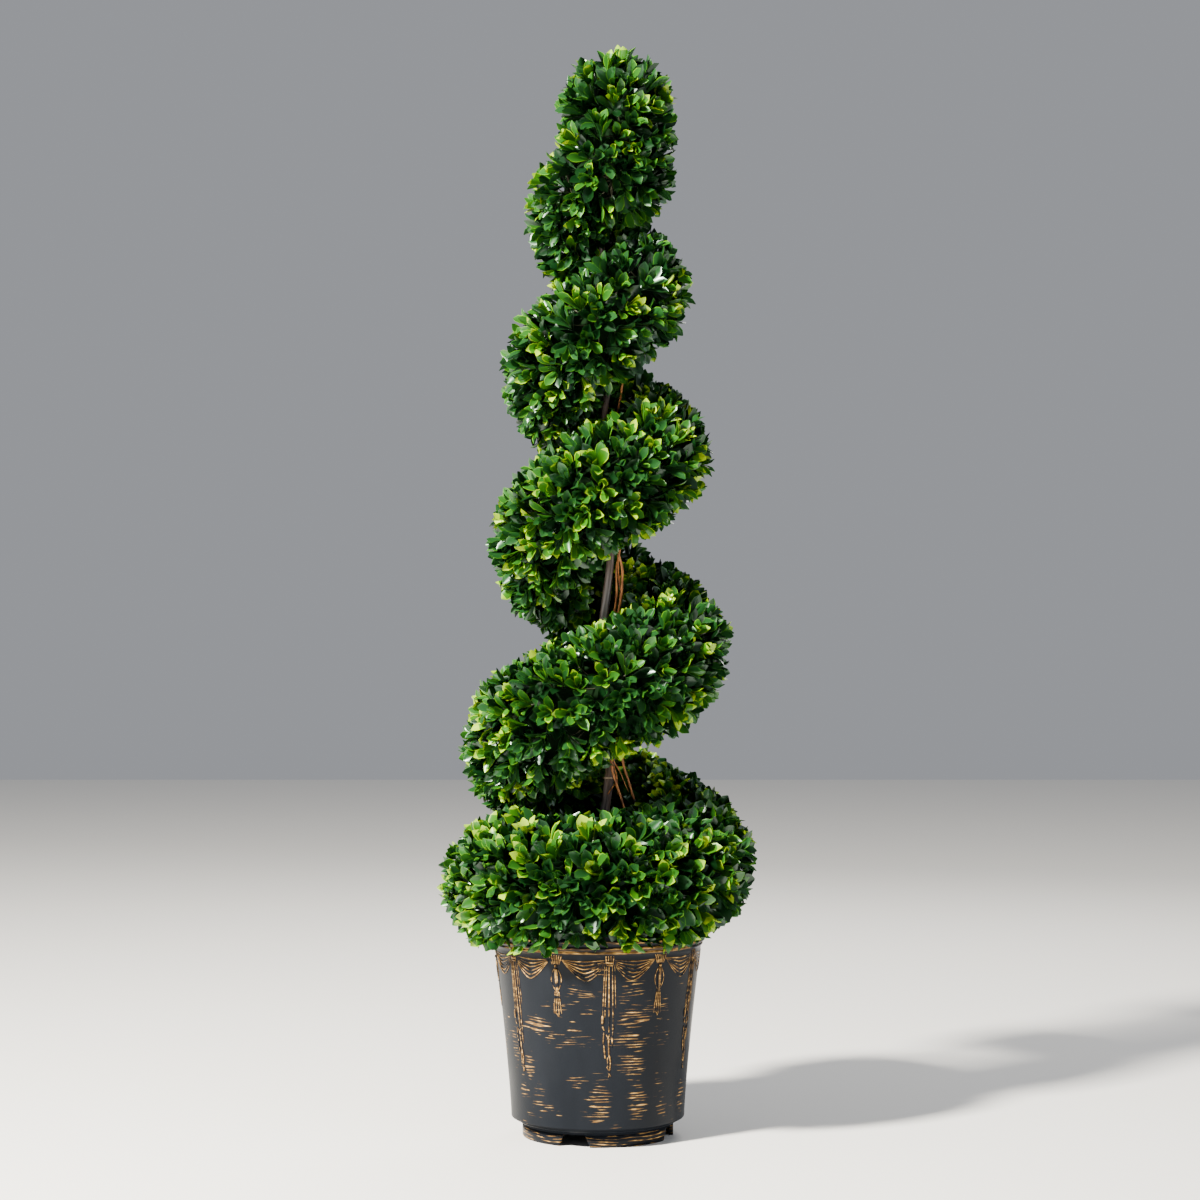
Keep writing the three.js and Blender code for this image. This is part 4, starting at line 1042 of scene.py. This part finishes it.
# 1 on the band's lowest turn and 0 on the others, with soft ends
lowest_turn = np.clip(2.8 - spray_owner, 0, 1) * np.clip(3 * (spray_owner - 1), 0, 1)
leaf_length = leaf_length * (1 + LOWEST_TURN_GROWTH * lowest_turn)[:, None]
leaf_drop = (DROP_STEP * number + FIRST_DROP) * MM

away = spray_side[:, None] * np.cos(bearing)[..., None] + spray_front[:, None] * np.sin(bearing)[..., None]
heading = spray_out[:, None] * np.cos(tilt)[..., None] + away * np.sin(tilt)[..., None]
leaf_root = spray_foot[:, None] - spray_out[:, None] * leaf_drop[..., None] + away * OFF_TWIG
leaf_across = unit(np.cross(heading, spray_out[:, None]))
roll = random.normal(0, ROLL_SPREAD, (sprays, LEAVES_EACH, 1))
leaf_top = np.cross(leaf_across, heading)
leaf_across, leaf_top = (
    leaf_across * np.cos(roll) + leaf_top * np.sin(roll),
    leaf_top * np.cos(roll) - leaf_across * np.sin(roll),
)

# %% Fitting each leaf to its room
SHARED_DEPTH = 0.75
STRAY_LEAST, STRAY_MOST = -0.03, 0.095
LOW_LEAVES = 8
leaf_owner, leaf_inner = per_leaf(spray_owner), per_leaf(inner_spray)
leaf_stray = per_leaf(random.uniform(STRAY_LEAST, STRAY_MOST, sprays))
root, ahead, across, top = (table.reshape(-1, 3) for table in (leaf_root, heading, leaf_across, leaf_top))
length = leaf_length.ravel()
number = np.tile(np.arange(LEAVES_EACH), sprays)
fitted = np.zeros(len(root))
for share in (0.7, 0.82, 0.94, 1.0):
    middle_room, tip_room = (
        has_room(root + ahead * (length * share * part)[:, None], leaf_owner, SHARED_DEPTH, leaf_stray)
        for part in (0.6, 1.0)
    )
    fitted = np.where(tip_room & middle_room, share, fitted)
grown = (fitted > 0) & ~(leaf_inner & (number >= LOW_LEAVES))
print("leaves", int(grown.sum()), "of", len(grown))

# %% [markdown]
# One leaf is a small grid: seven places from stalk to tip, and across it the midrib, the two edges and
# the inner line of each margin. Its outline swells slowly and ends bluntly, as box and laurel leaves do.
# It is folded a little along the midrib and arches back towards its tip, and that catches the light.

# %% One leaf, and all of them at once
LEAF_ROWS = np.array([0.0, 0.13, 0.30, 0.50, 0.70, 0.87, 1.0])
LEAF_HALF_WIDTH = np.array([0.045, 0.09, 0.20, 0.37, 0.49, 0.41, 0.06])
LEAST_BREADTH, MOST_BREADTH = 0.31, 0.39
leaf_faces = grid_faces(len(LEAF_ROWS), 5)
breadth = random.uniform(LEAST_BREADTH, MOST_BREADTH, len(root)) * (1 + 0.1 * per_leaf(lowest_turn))
folding = random.uniform(0.30, 0.62, len(root))
arching = random.uniform(0.06, 0.24, len(root))


def leaf_points(choice, margin):
    """The points of the chosen leaves, (count, rows * columns, 3). margin is a part of the half width.

    A point is the root, plus the part of the length ahead, plus the outline's half width across, plus a
    rise that grows with the distance from the midrib and falls with the square of the part.
    """
    size, wide, fold, arch = (
        values[choice][:, None, None] for values in (length * fitted, breadth, folding, arching)
    )
    part = LEAF_ROWS[None, :, None]
    half = LEAF_HALF_WIDTH[None, :, None] * wide
    side = np.array([-1.0, margin - 1, 0.0, 1 - margin, 1.0])[None, None, :]
    rise = fold * np.abs(side) * half + 0.10 * part - arch * part**2
    spot = root[choice][:, None, None]
    for amount, way in ((size * part, ahead), (size * half * side, across), (size * rise, top)):
        spot = spot + amount[..., None] * way[choice][:, None, None]
    return spot.reshape(len(choice), -1, 3)


print("faces on a leaf", len(leaf_faces))

# %% [markdown]
# ## Greens
#
# The leaves are glossy moulded plastic in several greens, from deep bluish to lime, each with a lighter
# margin. On the lighter kinds the margin's colour takes only one side, chosen at random, and the tip. That
# lighter margin and tip is partly the plastic's own colour and partly painted light shining through the
# edge. A pattern on so many tiny pieces would turn to mush when exported, so each spray is dealt one of a
# few kinds of two plain colours, and single leaves stray to the next kind. The low leaves of a spray and
# the whole inner layer are of the shaded kind, whose dark colours are painted shade.

# %% Kinds of leaf
# A green tint on the leaves' sheen, a painted reflection of the leaves around them.
SHEEN_TINT = (0.75, 1.0, 0.84, 1.0)


def leaf_finish(name, colour):
    """Glossy plastic of one plain colour, its sheen tinted green as a painted reflection of leaves."""
    finish = Finish(name, colour, 0.30, Specular_IOR_Level=0.40, Specular_Tint=SHEEN_TINT,
                    Coat_Weight=0.15, Coat_Roughness=0.14)
    return finish.material


# Each kind: share of the sprays, blade colour, margin colour, margin's width, rows of faces in its tip
LEAF_KINDS = {
    # The shaded kind's dark colours are painted shade.
    "shaded": (0.00, (0.002, 0.016, 0.003), (0.004, 0.028, 0.004), 0.10, 0),
    "deep": (0.42, (0.007, 0.041, 0.008), (0.036, 0.140, 0.005), 0.10, 0),
    "green": (0.37, (0.014, 0.076, 0.006), (0.090, 0.250, 0.003), 0.12, 0),
    "fresh": (0.19, (0.022, 0.105, 0.002), (0.190, 0.335, 0.000), 0.17, 1),
    "lime": (0.02, (0.045, 0.165, 0.001), (0.275, 0.430, 0.000), 0.26, 2),
}
DARKER_BELOW, LIGHTER_ABOVE, LIGHTER_LEAVES = 0.30, 0.84, 7
spray_kind = random.choice(len(LEAF_KINDS), sprays, p=[kind[0] for kind in LEAF_KINDS.values()])
leaf_kind = per_leaf(spray_kind)
chance = random.uniform(0, 1, len(root))
leaf_kind = np.where(chance < DARKER_BELOW, np.maximum(leaf_kind - 1, 1), leaf_kind)
lighter = (chance > LIGHTER_ABOVE) & (number < LIGHTER_LEAVES)
leaf_kind = np.where(lighter, np.minimum(leaf_kind + 1, len(LEAF_KINDS) - 1), leaf_kind)
# Painted shade: the low leaves of each spray and the whole inner layer take the dark shaded kind.
leaf_kind = np.where((number >= LOW_LEAVES) | leaf_inner, 0, leaf_kind)

PIECE_LEAVES = 3400
for kind, (name, (*_, blade, margin, margin_width, tip_rows)) in enumerate(LEAF_KINDS.items()):
    # The margin and tip faces take the lighter colour, partly the plastic's own and partly painted light
    # shining through the leaf's edge.
    margin_face = np.tile([1, 0, 0, 0 if tip_rows else 1], (len(LEAF_ROWS) - 1, 1))
    margin_face[len(margin_face) - tip_rows:] = 1
    looks = [leaf_finish(f"{name}_blade", blade), leaf_finish(f"{name}_margin", margin)]
    chosen = np.flatnonzero(grown & (leaf_kind == kind))
    batches = np.array_split(chosen, max(1, math.ceil(len(chosen) / PIECE_LEAVES)))
    for batch_number, batch in enumerate(batches, start=1):
        points = leaf_points(batch, margin_width)
        mirrored = random.uniform(0, 1, len(batch))[:, None, None] < 0.5
        new_piece(
            f"leaves_{name}_{batch_number}", points.reshape(-1, 3),
            repeat_faces(leaf_faces, len(batch), points.shape[1]), looks, "leaves", FOLIAGE,
            face_material=np.where(mirrored, margin_face[:, ::-1], margin_face).ravel(),
        )

# %% [markdown]
# ## Boughs and twigs
#
# Under the leaves the band is carried by branches: from the trunk or a shoot's tip into the band's heart,
# along it, out in branches, and on in a twig to every spray. Each level grows from the nearest point of
# the level before, which is the seeded rule of the solids carried two steps further.

# %% Hearts, branches and twigs
MASSES = 14
HEART_PLACES = 400
HEART_START = BAND_START + 0.08
LEAST_HEART_RADIUS = 24 * MM
DOWN = np.array([0, 0, -1.0])
# The masses that a shoot carries, and the shoots' numbers
CARRIED_BY = {1: 0, 2: 1, 7: 2, 8: 3, 11: 4}


def nearest(points, others):
    """For each point, the number of the nearest of the others."""
    return np.linalg.norm(points[:, None] - others[None], axis=-1).argmin(axis=1)


def bent_lines(start, finish, sag):
    """Lines of five places from start to finish that sag by a part of their length in the middle."""
    part = np.linspace(0, 1, 5)[None, :, None]
    bow = np.linalg.norm(finish - start, axis=1)[:, None, None] * sag * np.sin(part * np.pi)
    return part_way(start[:, None], finish[:, None], part) + bow * DOWN


heart_place = np.linspace(HEART_START, BAND_END, HEART_PLACES)
heart_section = Section(heart_place)
heart_line = heart_section.spot(np.maximum(heart_section.radius, LEAST_HEART_RADIUS), heart_section.z)
dome_line = DOME_CENTRE - DOWN * np.linspace(-0.03, 0.05, 12)[:, None]
hearts = np.concatenate([heart_line, dome_line])
picks = spray_foot[farthest_first(spray_foot, 75 * MM)]
branch_from = hearts[nearest(picks, hearts)]
branch_to = branch_from + (picks - branch_from) * 0.55
branch_lines = bent_lines(branch_from, branch_to, 0.10)
twig_root = branch_to[nearest(spray_foot, branch_to)]
twig_lines = bent_lines(twig_root, spray_foot + spray_out * 2 * MM, 0.08)

stem_from, stem_to, spine_lines = [], [], []
for mass in range(MASSES):
    middle_place = BAND_START + (BAND_END - BAND_START) / MASSES * (mass + 0.5)
    middle = heart_line[np.argmin(np.abs(heart_place - middle_place))]
    z = min(middle[2], TRUNK_TIP_Z - 12 * MM)
    way = unit((middle - trunk_centre(z)) * np.array([1, 1, 0]))
    beside_trunk = trunk_centre(z) + way * (trunk_radius(z) + 0.3 * MM)
    stem_from.append(shoot_lines[CARRIED_BY[mass], -1] if mass in CARRIED_BY else beside_trunk)
    stem_to.append(middle)
    # A hair's breadth less keeps the last place of a spine inside its own mass
    ends = [HEART_START + (BAND_END - HEART_START) * count / MASSES for count in (mass, mass + 1)]
    first, last = np.searchsorted(heart_place, [ends[0], ends[1] - 1e-6])
    spine_lines.append(heart_line[np.linspace(first, last, 5).astype(int)])
stem_from.append(trunk_centre(TRUNK_TIP_Z) - DOWN * 0.3 * MM)
stem_to.append(dome_line[-6])
stem_lines = bent_lines(np.array(stem_from), np.array(stem_to), 0.05)

# Half thicknesses in mm at the two ends of every limb of a level
LEVELS = [
    (stem_lines, 2.2, 2.0), (np.array(spine_lines), 2.0, 2.0),
    (branch_lines, 1.8, 1.2), (twig_lines, 1.1, 0.6),
]
twig_points, twig_faces, points_before = [], [], 0
for lines, thick, thin in LEVELS:
    radii = np.tile(part_way(thick, thin, np.linspace(0, 1, 5)) * MM, (len(lines), 1))
    points, faces = tubes(lines, radii, 4)
    twig_points.append(points)
    twig_faces += [group + points_before for group in faces]
    points_before += len(points)
twig_finish = Finish("green_brown_twigs", (0.026, 0.026, 0.010), 0.7)
new_piece("twigs", np.concatenate(twig_points), twig_faces, twig_finish.material, "leaves", FOLIAGE)

# %% [markdown]
# ## The dark inside
#
# A clipped plant is dark inside: older leaves and twigs fill it, and no light passes. A closed rough skin
# well below the leaves stands for that thicket, and its near-black colour is painted shade. It follows the
# band's sections at a smaller size, with random dents, and the trunk stays outside it.

# %% Rough hearts under the leaves
HEART_DEPTH = 47 * MM
HEART_ROWS, BALL_ROWS, HEART_COLUMNS = 260, 24, 28
DENT_COLUMNS = 14
around = np.arange(HEART_COLUMNS)[None] / HEART_COLUMNS
angle = around * 2 * np.pi

row_place = np.linspace(BAND_START + 0.03, BAND_END - 0.02, HEART_ROWS)[:, None]
row_section = Section(row_place + 0 * around)
dents = 4 * MM * smooth_random(around * DENT_COLUMNS, row_place * 16, (DENT_COLUMNS, 200), 8)
from_end = np.minimum(row_place - BAND_START, BAND_END - row_place)
inner_half = (row_section.half - HEART_DEPTH) * np.sqrt(np.clip(from_end / 0.25, 0.02, 1)) + dents
inner_tall = inner_half * row_section.tall / row_section.half
inner_z = np.maximum(row_section.z + inner_tall * np.sin(angle), 300 * MM)
clear = trunk_radius(np.minimum(inner_z, TRUNK_TIP_Z)) + 7 * MM
inner_radius = np.maximum(row_section.radius + inner_half * np.cos(angle), clear)
band_skin = row_section.spot(inner_radius, inner_z).reshape(-1, 3)

up = np.linspace(-0.985, 0.985, BALL_ROWS)[:, None]
level = np.sqrt(1 - up**2)
size = dome_size(level, up)
ball_dents = 1 + 0.05 * smooth_random(around * DENT_COLUMNS, up * 8 + 20, (DENT_COLUMNS, 40), 9)
ball_radius = (DOME_RADIUS - HEART_DEPTH) * level / size * ball_dents
ball_skin = DOME_CENTRE + around_axis(ball_radius, angle, (DOME_HALF_HEIGHT - HEART_DEPTH) * up / size)

skin_points = np.concatenate([band_skin, ball_skin.reshape(-1, 3)])
skin_faces = tube_faces(HEART_ROWS, HEART_COLUMNS, flipped=True)
skin_faces += [group + len(band_skin) for group in tube_faces(BALL_ROWS, HEART_COLUMNS)]
# The thicket's near-black colour is painted shade.
thicket = Finish("thicket_painted_shade", (0.003, 0.010, 0.003), 1.0, Specular_IOR_Level=0.05)
new_piece("thicket", skin_points, skin_faces, thicket.material, "leaves", FOLIAGE)

# %% [markdown]
# ## Floor and light
#
# A plain pale floor and soft lamps, as in a studio. The key lamp is high on the left, where the sun stood
# in the photograph, and large enough for soft shadows. A weaker one fills the right, and the surroundings
# are an even pale grey.

# %% Floor
FLOOR_HALF = 9.0
floor_mesh = bpy.data.meshes.new("floor")
floor_corners = [(x * FLOOR_HALF, y * FLOOR_HALF, 0) for x, y in ((-1, -1), (1, -1), (1, 1), (-1, 1))]
floor_mesh.from_pydata(floor_corners, [], [(0, 1, 2, 3)])
floor = bpy.data.objects.new("floor", floor_mesh)
bpy.context.scene.collection.objects.link(floor)
floor_mesh.materials.append(Finish("pale_floor", (0.78, 0.77, 0.75), 0.8).material)

world = bpy.data.worlds.new("pale_surroundings")
world.use_nodes = True
world.node_tree.nodes["Background"].inputs["Color"].default_value = (0.90, 0.93, 1.0, 1.0)
world.node_tree.nodes["Background"].inputs["Strength"].default_value = 0.36
bpy.context.scene.world = world


# %% Lamps
def lamp(name, place, aim, size, power, colour):
    """A square lamp at a place, turned to shine at its aim."""
    data = bpy.data.lights.new(name, "AREA")
    data.shape = "SQUARE"
    data.size = size
    data.energy = power
    data.color = colour
    aimed(name, data, Vector(place), Vector(aim))


lamp("key_lamp", (-2.4, -2.3, 3.1), (0, 0, 0.8), 0.45, 1260, (1.0, 0.95, 0.84))
lamp("fill_lamp", (2.6, -1.8, 1.6), (0, 0, 0.7), 2.0, 32, (0.90, 0.95, 1.0))
lamp("back_lamp", (0.9, 2.6, 2.6), (0, 0, 1.0), 1.5, 60, (1.0, 0.98, 0.95))
